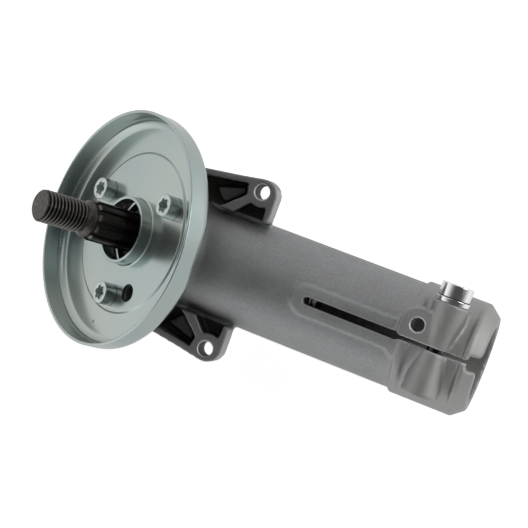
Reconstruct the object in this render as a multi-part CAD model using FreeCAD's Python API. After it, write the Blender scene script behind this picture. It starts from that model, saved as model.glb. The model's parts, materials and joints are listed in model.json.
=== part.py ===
# Gear head of a brush cutter, in millimetres.
# The origin is the centre of the clamp's mouth, where the drive tube goes in.
# +X points out of the mouth along the drive tube, and +Z is the side that carries the cutting tool.
# Places along the output shaft and the pinion are counted from the point where their two axes cross.
import FreeCAD, Part
import math
import os
from FreeCAD import Placement, Rotation, Vector

# Layout of the two shafts
HEAD_ANGLE = 125.0          # from the drive tube to the output shaft, in degrees
CROSSING_REACH = 124.66     # from the mouth back to the point where the axes cross

# Fits between pieces, each on the radius
BALL_GAP = 0.02
CAGE_GAP = 0.15
CAGE_BACK = 0.8             # from the lowest point of a ball to the cage's closed side
SEAL_GAP = 0.08
DRILL_GAP = 0.2
GROOVE_GAP = 0.1

# Drive tube and clamp
DRIVE_TUBE_R = 14.0
TUBE_SLIDE_GAP = 0.1
BARREL_R = 20.5
CLAMP_R = 21.7
CLAMP_LENGTH = 28.5
CLAMP_EDGE = (4.5, 3.7)     # end bevel, along and across
CLAMP_RELIEF_R = 22.7
CLAMP_RELIEF_DROP = 3.0     # its axis lies this far below the tube's, so it runs out at the sides
RELIEF_FROM = 6.0
RELIEF_LENGTH = 19.5
SLOT_WIDTH = 2.9
SLOT_END = 66.5
SLOT_START = 30.0
SLIT_WIDTH = 1.6
NOTCH_DEPTH = 4.3
NOTCH_WIDTH = 5.1
NOTCH_ROUND = 1.6
PAD_END = 71.2
PAD_HALF_WIDTH = 5.6
PAD_RISE = 0.8
PAD_FLARE = 3.6
PAD_FLARE_LENGTH = 7.0

# Clamp bolt and locating screw
CLAMP_BOLT_R = 3.0
CLAMP_BOLT_LENGTH = 30.0
CLAMP_BOLT_X = -16.2
CLAMP_BOLT_Z = 17.8
CLAMP_HEAD_R = 5.9
CLAMP_HEAD_HEIGHT = 5.0
CLAMP_WASHER_R = 6.4
CLAMP_WASHER_THICK = 1.9
CLAMP_SEAT_Y = 17.4
CROSS_BOSS_R = 7.0          # at its two ends
CROSS_BOSS_WAIST_R = 5.0    # where the slit parts it
LOCATING_X = -24.5
LOCATING_Y = 6.4
LOCATING_BOSS_R = 6.3
LOCATING_BOSS_TOP = 22.5
LOCATING_THREAD_R = 2.5
LOCATING_EDGE = 0.35

# Ears, with places along the tube counted from the crossing point
EAR_HOLE_AHEAD = 27.99
EAR_HOLE_Y = 31.05
EAR_HOLE_R = 2.75
EAR_HOLE_EDGE = 0.3
EAR_BOSS_R = 5.9
EAR_BACK = 4.5
EAR_THICK = 8.5
EAR_FLOOR = 2.0
EAR_WALL = 2.5
EAR_RIB_HALF = 1.35
EAR_RIB_FOOT = (14.0, 19.8)  # where the rib meets the tube's side
EAR_SLOPE_AT = (17.66, 34.2)
EAR_FAR_CORNER = (3.66, 32.2)
EAR_TAIL = (-16.34, 27.5)
EAR_ROUND = 18.0

# Guard dish
DISH_LEVEL = 22.0           # front of the dish's flat outer band, along the output shaft
DISH_SHEET = 1.2
DISH_RIM_R = 45.0
DISH_RIM_HEIGHT = 9.4
DISH_BEND_R = 3.6
DISH_EDGE_ROUND = 0.35
DISC_R = 30.8
DISC_RAISE = 0.6
DISC_SLOPE = 0.8
COLLAR_BORE_R = 11.6
COLLAR_HEIGHT = 5.1
COLLAR_BEND_R = 0.8

# Dish screws and locking hole, on circles round the output shaft
DISH_SCREW_CIRCLE_R = 24.8
DISH_SCREW_ANGLES = {"dish_screw_a": 153.9, "dish_screw_b": 35.6, "dish_screw_c": -88.3}
DISH_SCREW_R = 2.5
DISH_SCREW_LENGTH = 10.0
DISH_HEAD_R = 4.25
DISH_HEAD_HEIGHT = 5.0
DISH_BOSS_R = 5.0
SCREW_END_ROOM = 0.6
BOSS_FLOOR = 2.0
LOCK_CIRCLE_R = 23.7
LOCK_ANGLE = -62.7
LOCK_HOLE_R = 3.4
LOCK_HOLE_DEPTH = 12.0
LOCK_BOSS_R = 5.6

# Head casting round the output shaft
FLANGE_R = 29.0
FLANGE_THICK = 4.0
HEAD_R = 22.5
HEAD_FLARE_R = 24.2
HEAD_FLARE_AT = 11.5
HEAD_FOOT_R = 18.0
HEAD_FLOOR = 3.6
CHAMBER_R = 15.6
PINION_WAY_R = 12.2
CAST_ROUND = 5.0
JUNCTION_ROUND = 5.0

# Ball bearings: bore radius, outer radius, width, ball count, ball radius, pitch radius
OUTPUT_BEARING = {"bore": 7.5, "outer": 17.5, "width": 11.0, "balls": 8, "ball": 2.975, "pitch": 12.5}
END_BEARING = {"bore": 5.0, "outer": 13.0, "width": 8.0, "balls": 7, "ball": 2.38, "pitch": 9.0}
PINION_BEARING = {"bore": 6.0, "outer": 14.0, "width": 8.0, "balls": 8, "ball": 2.38, "pitch": 10.0}
RING_CHAMFER = 0.4
LAND_SHARE = 0.3            # share of the ball's diameter between the pitch circle and each ring's land
SEAL_THICK = 1.0
SEAL_INSET = 0.3

# Output shaft, along its own axis
OUTPUT_BEARING_AT = 7.5
END_BEARING_AT = -34.3
SHAFT_END_ROOM = 1.7
SHAFT_PAST_BEARING = 1.5
SHAFT_BODY_R = 7.8
SHAFT_COLLAR_R = 9.0
SHAFT_COLLAR_WIDTH = 4.0
GEAR_SEAT_R = 6.0
GEAR_SEAT_TOP = -12.4
SPLINE_START = 21.0
SPLINE_TOP = 42.3
SPLINE_COUNT = 10
SPLINE_DEPTH = 1.15
SPLINE_GROOVE_WIDTH = 2.5
SPLINE_GROOVE_FLOOR = 1.6
SPLINE_BEVEL = 0.9
NECK_R = 6.9
NECK_LENGTH = 1.5
NECK_TAPER = 1.3
RELIEF_GROOVE_R = 5.3
RELIEF_GROOVE_WIDTH = 1.7
THREAD_R = 6.0
THREAD_LENGTH = 16.0
THREAD_TIP_BEVEL = 0.8
SHAFT_EDGE = 0.5

# Retaining rings
CIRCLIP_THICK = 1.2
OUTPUT_CIRCLIP_THICK = 1.5
CIRCLIP_WIDTH = 2.6
CIRCLIP_BITE = 0.7
CIRCLIP_LAND = 2.0          # wall left beyond a ring's groove
CIRCLIP_OPENING = 34.0
CIRCLIP_LUG_R = 1.5
CIRCLIP_HOLE_R = 0.7

# Bevel gears
PINION_TEETH = 13
GEAR_TEETH = 18
MODULE = 1.5
PRESSURE_ANGLE = 25.0
ADDENDUM = 0.8              # times the module
DEDENDUM = 1.05             # times the module
FACE_WIDTH = 8.5
FLANK_THINNING = 0.09
FLANK_POINTS = 4
GEAR_BACK_R = 9.5
GEAR_FRONT_R = 7.9
KEY_WIDTH = 3.0
KEY_HEIGHT = 3.0
KEY_LENGTH = 8.0
KEY_IN_SHAFT = 1.8
KEY_END_ROOM = 1.0

# Pinion shaft, along the drive tube's axis
PINION_SHOULDER_AT = 29.0
PINION_BODY_R = 7.8
BEARING_SPACING = 6.0       # between the two pinion bearings
SPACER_WALL = 2.0
PINION_TAIL = 5.5
PINION_TAIL_ROOM = 0.2
SOCKET_R = 3.55
SOCKET_GROOVE_R = 4.1
SOCKET_GROOVE_COUNT = 9
SOCKET_GROOVE_WIDTH = 1.3
SOCKET_DEPTH = 22.0
SOCKET_LEAD = 0.6

# Grease plug on the side of the head
PLUG_X = 4.0                # from the crossing point, along the drive tube's axis
PLUG_Z = -9.0
PLUG_R = 4.0
PLUG_DEPTH = 8.0
PLUG_BOSS_R = 7.4
PLUG_BOSS_REACH = 24.4
PLUG_WASHER_THICK = 1.0
PLUG_WASHER_R = 6.8
PLUG_FLANGE_R = 6.2
PLUG_FLANGE_THICK = 1.2
PLUG_HEX = 10.0             # across the flats
PLUG_HEX_HEIGHT = 4.5

# Six-lobe recess of the screws, as shares of the head's radius and height
RECESS_CORE = 0.40
RECESS_LOBE = 0.115
RECESS_LOBE_AT = 0.425
RECESS_DEPTH = 0.5
HEAD_ROUND = 0.4

# Sizes that follow from the ones above
FLANGE_LEVEL = DISH_LEVEL + DISC_RAISE - DISH_SHEET
DISC_LEVEL = DISH_LEVEL + DISC_RAISE
TUBE_BORE_R = DRIVE_TUBE_R + TUBE_SLIDE_GAP
PINION_END = PINION_SHOULDER_AT + 2 * PINION_BEARING["width"] + BEARING_SPACING
PINION_TAIL_AT = PINION_END + GROOVE_GAP + CIRCLIP_THICK + PINION_TAIL
HEAD_FOOT_AT = END_BEARING_AT - SHAFT_PAST_BEARING - SHAFT_END_ROOM
OUTPUT_BEARING_TOP = OUTPUT_BEARING_AT + OUTPUT_BEARING["width"]
EAR_FRONT = EAR_BACK + EAR_THICK
REACH = 200.0               # long enough to cut through everything

# Cone geometry of the gear pair
SHAFT_ANGLE = math.radians(180.0 - HEAD_ANGLE)
PINION_CONE = math.atan2(math.sin(SHAFT_ANGLE), GEAR_TEETH / PINION_TEETH + math.cos(SHAFT_ANGLE))
GEAR_CONE = SHAFT_ANGLE - PINION_CONE
CONE_DISTANCE = MODULE * PINION_TEETH / 2 / math.sin(PINION_CONE)
TOE_SHARE = (CONE_DISTANCE - FACE_WIDTH) / CONE_DISTANCE

# Places of the crossing point and of the frames that turned pieces are modelled in
CROSSING = Vector(-CROSSING_REACH, 0, 0)
OUTPUT_FRAME = Placement(CROSSING, Rotation(Vector(0, 1, 0), 90.0 - HEAD_ANGLE))
GEAR_FRAME = Placement(CROSSING, Rotation(Vector(0, 1, 0), 270.0 - HEAD_ANGLE))
PINION_FRAME = Placement(CROSSING, Rotation(Vector(0, 1, 0), 90.0))


def rounded_outline(corners, place):
    """Closed wire through corners (a, b) or (a, b, radius), with a tangent arc at each radius."""
    count = len(corners)
    joints = []
    for i, corner in enumerate(corners):
        here = Vector(corner[0], corner[1], 0)
        back = Vector(corners[i - 1][0], corners[i - 1][1], 0) - here
        ahead = Vector(corners[(i + 1) % count][0], corners[(i + 1) % count][1], 0) - here
        back.normalize()
        ahead.normalize()
        radius = corner[2] if len(corner) > 2 else 0
        if radius == 0:
            joints.append((here, None, here))
            continue
        half = back.getAngle(ahead) / 2
        trim = radius / math.tan(half)
        middle = (back + ahead).normalize() * (radius / math.sin(half) - radius)
        joints.append((here + back * trim, here + middle, here + ahead * trim))
    edges = []
    for i, (start, middle, end) in enumerate(joints):
        if middle is not None:
            edges.append(Part.Arc(place(start), place(middle), place(end)).toShape())
        following = joints[(i + 1) % count][0]
        if (following - end).Length > 1e-6:
            edges.append(Part.LineSegment(place(end), place(following)).toShape())
    return Part.Wire(edges)


def turned(corners):
    """Solid turned round Z from (radius, height) corners."""
    wire = rounded_outline(corners, lambda p: Vector(p.x, 0, p.y))
    return Part.Face(wire).revolve(Vector(0, 0, 0), Vector(0, 0, 1), 360)


def extruded(corners, low, high):
    """Prism over (x, y) corners from one height to another."""
    wire = rounded_outline(corners, lambda p: Vector(p.x, p.y, low))
    return Part.Face(wire).extrude(Vector(0, 0, high - low))


def rod(radius, low, high, x=0.0, y=0.0):
    """Cylinder along Z."""
    return Part.makeCylinder(radius, high - low, Vector(x, y, low))


def ring(inner, outer, low, high):
    """Plain ring round Z with chamfered corners."""
    c = min(RING_CHAMFER, (outer - inner) / 4, (high - low) / 4)
    corners = [(inner + c, low), (outer - c, low), (outer, low + c), (outer, high - c)]
    corners += [(outer - c, high), (inner + c, high), (inner, high - c), (inner, low + c)]
    return turned(corners)


def block(x0, x1, y0, y1, z0, z1):
    """Box between two opposite corners."""
    return Part.makeBox(x1 - x0, y1 - y0, z1 - z0, Vector(x0, y0, z0))


def around(shape, angle):
    """Copy of a shape turned round Z."""
    copy = shape.copy()
    copy.rotate(Vector(0, 0, 0), Vector(0, 0, 1), angle)
    return copy


def repeated(shape, count, start=0.0):
    """List of copies spaced evenly round Z."""
    return [around(shape, start + 360.0 * i / count) for i in range(count)]


def placed(shape, frame):
    """Copy of a shape in one of the shaft frames."""
    copy = shape.copy()
    copy.Placement = frame.multiply(copy.Placement)
    return copy


def facing_y(shape, x, y, z, turn):
    """Copy of a shape with its Z axis along Y, or against Y where turn is +90."""
    copy = shape.copy()
    copy.Placement = Placement(Vector(x, y, z), Rotation(Vector(1, 0, 0), turn)).multiply(copy.Placement)
    return copy


def on_circle(radius, angle):
    """Point (x, y) of a circle round Z."""
    return radius * math.cos(math.radians(angle)), radius * math.sin(math.radians(angle))


# Bearings
def bearing_pieces(bearing):
    """Outer ring, inner ring, balls and cage round Z, standing on height 0."""
    width = bearing["width"]
    land = LAND_SHARE * bearing["ball"] * 2
    track = Part.makeTorus(bearing["pitch"], bearing["ball"] + BALL_GAP)
    track.translate(Vector(0, 0, width / 2))
    outer = ring(bearing["pitch"] + land, bearing["outer"], 0, width).cut(track)
    inner = ring(bearing["bore"], bearing["pitch"] - land, 0, width).cut(track)
    ball = Part.makeSphere(bearing["ball"], Vector(bearing["pitch"], 0, width / 2))
    pocket = Part.makeSphere(bearing["ball"] + CAGE_GAP, Vector(bearing["pitch"], 0, width / 2))
    half = land - 2 * CAGE_GAP
    low = width / 2 - bearing["ball"] - CAGE_BACK
    cage = ring(bearing["pitch"] - half, bearing["pitch"] + half, low, width / 2 + bearing["ball"] / 3)
    cage = cage.cut(repeated(pocket, bearing["balls"]))
    balls = Part.makeCompound(repeated(ball, bearing["balls"]))
    return {"outer": outer, "inner": inner, "balls": balls, "cage": cage}


def bearing_seal(bearing):
    """Seal near the upper face, held in the outer ring and close to the inner one."""
    land = LAND_SHARE * bearing["ball"] * 2
    top = bearing["width"] - SEAL_INSET
    return ring(bearing["pitch"] - land + SEAL_GAP, bearing["pitch"] + land, top - SEAL_THICK, top)


# Retaining rings
def circlip(bore_r, thick, outside):
    """Open ring with two eyes: outside sits in a housing's groove, otherwise in a shaft's groove."""
    way = 1 if outside else -1
    rim = bore_r + way * (CIRCLIP_BITE - GROOVE_GAP)
    edge = rim - way * CIRCLIP_WIDTH
    body = rod(max(rim, edge), 0, thick).cut(rod(min(rim, edge), -1, thick + 1))
    half = math.radians(CIRCLIP_OPENING / 2)
    far = 2 * max(rim, edge)
    wedge = extruded([(0, 0), (far, -far * math.tan(half)), (far, far * math.tan(half))], -1, thick + 1)
    body = body.cut(wedge)
    eye_at = edge + way * CIRCLIP_LUG_R / 2
    turn = CIRCLIP_OPENING / 2 + math.degrees(CIRCLIP_LUG_R / eye_at)
    for angle in (turn, -turn):
        x, y = on_circle(eye_at, angle)
        body = body.fuse(rod(CIRCLIP_LUG_R, 0, thick, x, y))
        body = body.cut(rod(CIRCLIP_HOLE_R, -1, thick + 1, x, y))
    return body.removeSplitter()


# Gear teeth
def involute(angle):
    """Involute function of a pressure angle."""
    return math.tan(angle) - angle


def tooth_space(teeth, cone):
    """Solid between two teeth, tapering to the apex, centred on the XZ plane.

    The outline is that of a flat gear laid on the back cone. Each flank is a chain of points of the
    involute, and the solid grows from the apex in proportion to the distance from it.
    """
    pressure = math.radians(PRESSURE_ANGLE)
    pitch_r = MODULE * teeth / 2 / math.cos(cone)
    base_r = pitch_r * math.cos(pressure)
    root_r = pitch_r - DEDENDUM * MODULE
    tip_r = pitch_r + ADDENDUM * MODULE
    over_r = tip_r + 0.3 * MODULE
    half_pitch_angle = (math.pi * MODULE / 4 + FLANK_THINNING) / pitch_r
    flank = []
    for i in range(FLANK_POINTS + 1):
        r = base_r + (over_r - base_r) * i / FLANK_POINTS
        half = half_pitch_angle - involute(pressure) + involute(math.acos(base_r / r))
        flank.append((r * math.sin(half), r * math.cos(half) - pitch_r))
    half_root = half_pitch_angle - involute(pressure)
    if root_r < base_r:
        flank.insert(0, (root_r * math.sin(half_root), root_r * math.cos(half_root) - pitch_r))
    outline = [(-w, t) for w, t in reversed(flank)] + flank
    heel = Vector(MODULE * teeth / 2, 0, CONE_DISTANCE * math.cos(cone))
    up = Vector(math.cos(cone), 0, -math.sin(cone))
    big = [heel + up * t + Vector(0, w, 0) for w, t in outline]
    near = TOE_SHARE * 0.9
    far = 1.1
    inner = [p * near for p in big]
    outer = [p * far for p in big]
    faces = [Part.Face(Part.makePolygon(inner + inner[:1])), Part.Face(Part.makePolygon(outer + outer[:1]))]
    for i in range(len(big)):
        j = (i + 1) % len(big)
        faces.append(Part.Face(Part.makePolygon([inner[i], inner[j], outer[j], outer[i], inner[i]])))
    solid = Part.Solid(Part.Shell(faces))
    if solid.Volume < 0:
        solid.reverse()
    return solid


def tooth_corners(teeth, cone):
    """Corners (radius, height) of the toothed band: toe root, toe tip, heel tip, heel root."""
    pitch_r = MODULE * teeth / 2
    height = CONE_DISTANCE * math.cos(cone)
    rise = ADDENDUM * MODULE
    drop = DEDENDUM * MODULE
    tip = (pitch_r + rise * math.cos(cone), height - rise * math.sin(cone))
    root = (pitch_r - drop * math.cos(cone), height + drop * math.sin(cone))
    toe_tip = (tip[0] * TOE_SHARE, tip[1] * TOE_SHARE)
    toe_root = (root[0] * TOE_SHARE, root[1] * TOE_SHARE)
    return toe_root, toe_tip, tip, root


def driven_gear():
    """Bevel gear with its hub, keyed on the output shaft."""
    toe_root, toe_tip, heel_tip, heel_root = tooth_corners(GEAR_TEETH, GEAR_CONE)
    back = -END_BEARING_AT - END_BEARING["width"]
    front = -GEAR_SEAT_TOP
    corners = [(GEAR_SEAT_R, front), (GEAR_FRONT_R, front), toe_root, toe_tip, heel_tip, heel_root]
    corners += [(GEAR_BACK_R, back), (GEAR_SEAT_R, back)]
    gear = turned(corners)
    gear = gear.cut(repeated(tooth_space(GEAR_TEETH, GEAR_CONE), GEAR_TEETH))
    return placed(gear, GEAR_FRAME).cut(key_block())


def key_block():
    """Key between the gear and the output shaft."""
    low = END_BEARING_AT + END_BEARING["width"] + KEY_END_ROOM
    bottom = GEAR_SEAT_R - KEY_IN_SHAFT
    key = block(-bottom - KEY_HEIGHT, -bottom, -KEY_WIDTH / 2, KEY_WIDTH / 2, low, low + KEY_LENGTH)
    return placed(key, OUTPUT_FRAME)


def pinion_shaft():
    """Bevel pinion and its shaft, with the splined socket for the drive shaft."""
    toe_root, toe_tip, heel_tip, heel_root = tooth_corners(PINION_TEETH, PINION_CONE)
    bore = PINION_BEARING["bore"]
    corners = [(0, toe_root[1]), toe_root, toe_tip, heel_tip, heel_root]
    corners += [(PINION_BODY_R, heel_root[1] + MODULE / 2), (PINION_BODY_R, PINION_SHOULDER_AT)]
    corners += [(bore, PINION_SHOULDER_AT), (bore, PINION_TAIL_AT - SHAFT_EDGE)]
    corners += [(bore - SHAFT_EDGE, PINION_TAIL_AT), (0, PINION_TAIL_AT)]
    shaft = turned(corners)
    half_step = 180.0 / PINION_TEETH
    shaft = shaft.cut(repeated(tooth_space(PINION_TEETH, PINION_CONE), PINION_TEETH, half_step))
    floor = PINION_TAIL_AT - SOCKET_DEPTH
    groove = block(0, SOCKET_GROOVE_R, -SOCKET_GROOVE_WIDTH / 2, SOCKET_GROOVE_WIDTH / 2, floor,
                   PINION_TAIL_AT + 1)
    socket = rod(SOCKET_R, floor, PINION_TAIL_AT + 1).fuse(repeated(groove, SOCKET_GROOVE_COUNT))
    lead = Part.makeCone(SOCKET_R, SOCKET_GROOVE_R + SOCKET_LEAD, SOCKET_LEAD + SOCKET_GROOVE_R - SOCKET_R,
                         Vector(0, 0, PINION_TAIL_AT - SOCKET_LEAD - SOCKET_GROOVE_R + SOCKET_R))
    shaft = shaft.cut([socket, lead, shaft_groove(bore, PINION_END, CIRCLIP_THICK)])
    return placed(shaft, PINION_FRAME)


def shaft_groove(radius, low, thick):
    """Groove for a retaining ring round a shaft."""
    top = low + thick + 2 * GROOVE_GAP
    return rod(radius + 1, low, top).cut(rod(radius - CIRCLIP_BITE, low - 1, top + 1))


def output_shaft():
    """Output shaft with its gear seat, bearing seats, splines, neck and threaded end."""
    end = END_BEARING_AT - SHAFT_PAST_BEARING
    journal = END_BEARING["bore"]
    seat_low = END_BEARING_AT + END_BEARING["width"]
    spline_r = OUTPUT_BEARING["bore"]
    bevel_low = SPLINE_TOP - SPLINE_BEVEL
    neck_top = SPLINE_TOP + NECK_LENGTH
    groove_low = neck_top + NECK_TAPER
    thread_low = groove_low + RELIEF_GROOVE_WIDTH
    tip = thread_low + THREAD_LENGTH + THREAD_TIP_BEVEL
    corners = [(0, end), (journal - SHAFT_EDGE, end), (journal, end + SHAFT_EDGE), (journal, seat_low)]
    corners += [(GEAR_SEAT_R, seat_low), (GEAR_SEAT_R, GEAR_SEAT_TOP), (SHAFT_BODY_R, GEAR_SEAT_TOP)]
    corners += [(SHAFT_BODY_R, OUTPUT_BEARING_AT - SHAFT_COLLAR_WIDTH)]
    corners += [(SHAFT_COLLAR_R, OUTPUT_BEARING_AT - SHAFT_COLLAR_WIDTH)]
    corners += [(SHAFT_COLLAR_R, OUTPUT_BEARING_AT), (spline_r, OUTPUT_BEARING_AT)]
    corners += [(spline_r, bevel_low), (NECK_R, SPLINE_TOP), (NECK_R, neck_top, SHAFT_EDGE)]
    corners += [(RELIEF_GROOVE_R, groove_low, SHAFT_EDGE), (RELIEF_GROOVE_R, thread_low - SHAFT_EDGE)]
    corners += [(THREAD_R, thread_low), (THREAD_R, tip - THREAD_TIP_BEVEL)]
    corners += [(THREAD_R - THREAD_TIP_BEVEL, tip), (0, tip)]
    shaft = turned(corners)
    floor_r = spline_r - SPLINE_DEPTH
    wide = SPLINE_GROOVE_WIDTH / 2
    narrow = SPLINE_GROOVE_FLOOR / 2
    outline = [(floor_r, -narrow), (spline_r, -wide), (spline_r + 1, -wide), (spline_r + 1, wide)]
    outline += [(spline_r, wide), (floor_r, narrow)]
    groove = extruded(outline, SPLINE_START, SPLINE_TOP + NECK_LENGTH / 2)
    shaft = shaft.cut(repeated(groove, SPLINE_COUNT, 180.0 / SPLINE_COUNT))
    shaft = shaft.cut(shaft_groove(spline_r, OUTPUT_BEARING_TOP, CIRCLIP_THICK))
    return placed(shaft, OUTPUT_FRAME).cut(key_block())


# Dish and screws
def guard_dish():
    """Pressed dish with a raised disc, a drawn collar and a turned-up rim."""
    wall = DISH_RIM_R - DISH_SHEET
    collar_r = COLLAR_BORE_R + DISH_SHEET
    top = DISC_RAISE + COLLAR_HEIGHT
    back_shift = DISH_SHEET * math.tan(math.atan2(DISC_RAISE, DISC_SLOPE) / 2)
    step = (DISC_R - DISC_SLOPE / 2, DISC_R + DISC_SLOPE / 2)
    corners = [(COLLAR_BORE_R, DISC_RAISE - DISH_SHEET, COLLAR_BEND_R + DISH_SHEET)]
    corners += [(COLLAR_BORE_R, top, DISH_EDGE_ROUND), (collar_r, top, DISH_EDGE_ROUND)]
    corners += [(collar_r, DISC_RAISE, COLLAR_BEND_R)]
    corners += [(step[0], DISC_RAISE, DISC_RAISE), (step[1], 0, DISC_RAISE)]
    corners += [(wall, 0, DISH_BEND_R), (wall, DISH_RIM_HEIGHT, DISH_EDGE_ROUND)]
    corners += [(DISH_RIM_R, DISH_RIM_HEIGHT, DISH_EDGE_ROUND)]
    corners += [(DISH_RIM_R, -DISH_SHEET, DISH_BEND_R + DISH_SHEET)]
    corners += [(step[1] - back_shift, -DISH_SHEET, DISC_RAISE)]
    corners += [(step[0] - back_shift, DISC_RAISE - DISH_SHEET, DISC_RAISE)]
    dish = turned(corners)
    dish.translate(Vector(0, 0, DISH_LEVEL))
    low = DISH_LEVEL - DISH_SHEET - 1
    high = DISC_LEVEL + 1
    holes = [rod(LOCK_HOLE_R, low, high, *on_circle(LOCK_CIRCLE_R, LOCK_ANGLE))]
    for angle in DISH_SCREW_ANGLES.values():
        holes.append(rod(DISH_SCREW_R + DRILL_GAP, low, high, *on_circle(DISH_SCREW_CIRCLE_R, angle)))
    return placed(dish.cut(holes), OUTPUT_FRAME)


def cap_screw(shank_r, length, head_r, head_height):
    """Cylinder head screw with a six-lobe recess, its head standing on height 0."""
    corners = [(0, -length), (shank_r - SHAFT_EDGE, -length), (shank_r, SHAFT_EDGE - length), (shank_r, 0)]
    corners += [(head_r, 0), (head_r, head_height, HEAD_ROUND), (0, head_height)]
    floor = head_height * (1 - RECESS_DEPTH)
    recess = rod(RECESS_CORE * head_r, floor, head_height + 1)
    lobe = rod(RECESS_LOBE * head_r, floor, head_height + 1, RECESS_LOBE_AT * head_r)
    return turned(corners).cut([recess] + repeated(lobe, 6))


def dish_screw(angle):
    """Screw of the dish at its angle round the output shaft."""
    screw = cap_screw(DISH_SCREW_R, DISH_SCREW_LENGTH, DISH_HEAD_R, DISH_HEAD_HEIGHT)
    x, y = on_circle(DISH_SCREW_CIRCLE_R, angle)
    screw.translate(Vector(x, y, DISC_LEVEL))
    return placed(screw, OUTPUT_FRAME)


def clamp_bolt():
    """Bolt that pulls the clamp's two halves together."""
    bolt = cap_screw(CLAMP_BOLT_R, CLAMP_BOLT_LENGTH, CLAMP_HEAD_R, CLAMP_HEAD_HEIGHT)
    return facing_y(bolt, CLAMP_BOLT_X, CLAMP_SEAT_Y + CLAMP_WASHER_THICK, CLAMP_BOLT_Z, -90)


def clamp_washer():
    """Thick washer under the clamp bolt's head."""
    washer = ring(CLAMP_BOLT_R + DRILL_GAP, CLAMP_WASHER_R, 0, CLAMP_WASHER_THICK)
    return facing_y(washer, CLAMP_BOLT_X, CLAMP_SEAT_Y, CLAMP_BOLT_Z, -90)


def grease_plug():
    """Hexagon plug of the grease filling hole, its flange standing on height 0."""
    corners = [(0, -PLUG_DEPTH), (PLUG_R - SHAFT_EDGE, -PLUG_DEPTH), (PLUG_R, SHAFT_EDGE - PLUG_DEPTH)]
    corners += [(PLUG_R, 0), (PLUG_FLANGE_R, 0), (PLUG_FLANGE_R, PLUG_FLANGE_THICK), (0, PLUG_FLANGE_THICK)]
    corner_r = PLUG_HEX / 2 / math.cos(math.radians(30))
    hexagon = [on_circle(corner_r, 60 * i + 30) for i in range(6)]
    head = extruded(hexagon, PLUG_FLANGE_THICK, PLUG_FLANGE_THICK + PLUG_HEX_HEIGHT)
    top = PLUG_FLANGE_THICK + PLUG_HEX_HEIGHT
    fall = PLUG_HEX_HEIGHT + SHAFT_EDGE * 2
    dome = Part.makeCone(corner_r + PLUG_HEX_HEIGHT, PLUG_HEX / 2 - SHAFT_EDGE, fall,
                         Vector(0, 0, top - fall))
    plug = turned(corners).fuse(head.common(dome)).removeSplitter()
    face_y = -PLUG_BOSS_REACH - PLUG_WASHER_THICK
    return facing_y(plug, PLUG_X - CROSSING_REACH, face_y, PLUG_Z, 90)


def grease_plug_washer():
    """Flat seal ring under the grease plug."""
    washer = ring(PLUG_R + DRILL_GAP, PLUG_WASHER_R, 0, PLUG_WASHER_THICK)
    return facing_y(washer, PLUG_X - CROSSING_REACH, -PLUG_BOSS_REACH, PLUG_Z, 90)


# Housing
def junction_edges(shape):
    """Edges where the barrel runs into the head."""
    found = []
    for edge in shape.Edges:
        span = edge.LastParameter - edge.FirstParameter
        points = [edge.valueAt(edge.FirstParameter + span * step / 6) for step in range(1, 6)]
        on_barrel = all(abs(math.hypot(p.y, p.z) - BARREL_R) < 1e-3 for p in points)
        along = max(p.x for p in points) - min(p.x for p in points)
        across = max(p.y for p in points) - min(p.y for p in points)
        if on_barrel and along > 0.5 and across > 0.2:
            found.append(edge)
    return found


def head_casting():
    """Head round the output shaft and the tube's barrel, with a rounded corner between them."""
    low = HEAD_FOOT_AT - HEAD_FLOOR
    corners = [(0, low), (HEAD_FOOT_R, low, CAST_ROUND), (HEAD_R, END_BEARING_AT / 2, 3 * CAST_ROUND)]
    corners += [(HEAD_FLARE_R, HEAD_FLARE_AT, CAST_ROUND)]
    corners += [(FLANGE_R, FLANGE_LEVEL - FLANGE_THICK, RING_CHAMFER)]
    corners += [(FLANGE_R, FLANGE_LEVEL), (0, FLANGE_LEVEL)]
    barrel = placed(rod(BARREL_R, 0, CROSSING_REACH - CLAMP_LENGTH / 2), PINION_FRAME)
    head = placed(turned(corners), OUTPUT_FRAME).fuse(barrel).removeSplitter()
    head = head.makeFillet(JUNCTION_ROUND, junction_edges(head))
    screw_floor = DISC_LEVEL - DISH_SCREW_LENGTH - SCREW_END_ROOM - BOSS_FLOOR
    bosses = []
    for angle in DISH_SCREW_ANGLES.values():
        bosses.append(rod(DISH_BOSS_R, screw_floor, FLANGE_LEVEL, *on_circle(DISH_SCREW_CIRCLE_R, angle)))
    lock_floor = FLANGE_LEVEL - LOCK_HOLE_DEPTH - BOSS_FLOOR
    bosses.append(rod(LOCK_BOSS_R, lock_floor, FLANGE_LEVEL, *on_circle(LOCK_CIRCLE_R, LOCK_ANGLE)))
    return head.fuse([placed(boss, OUTPUT_FRAME) for boss in bosses])


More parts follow.
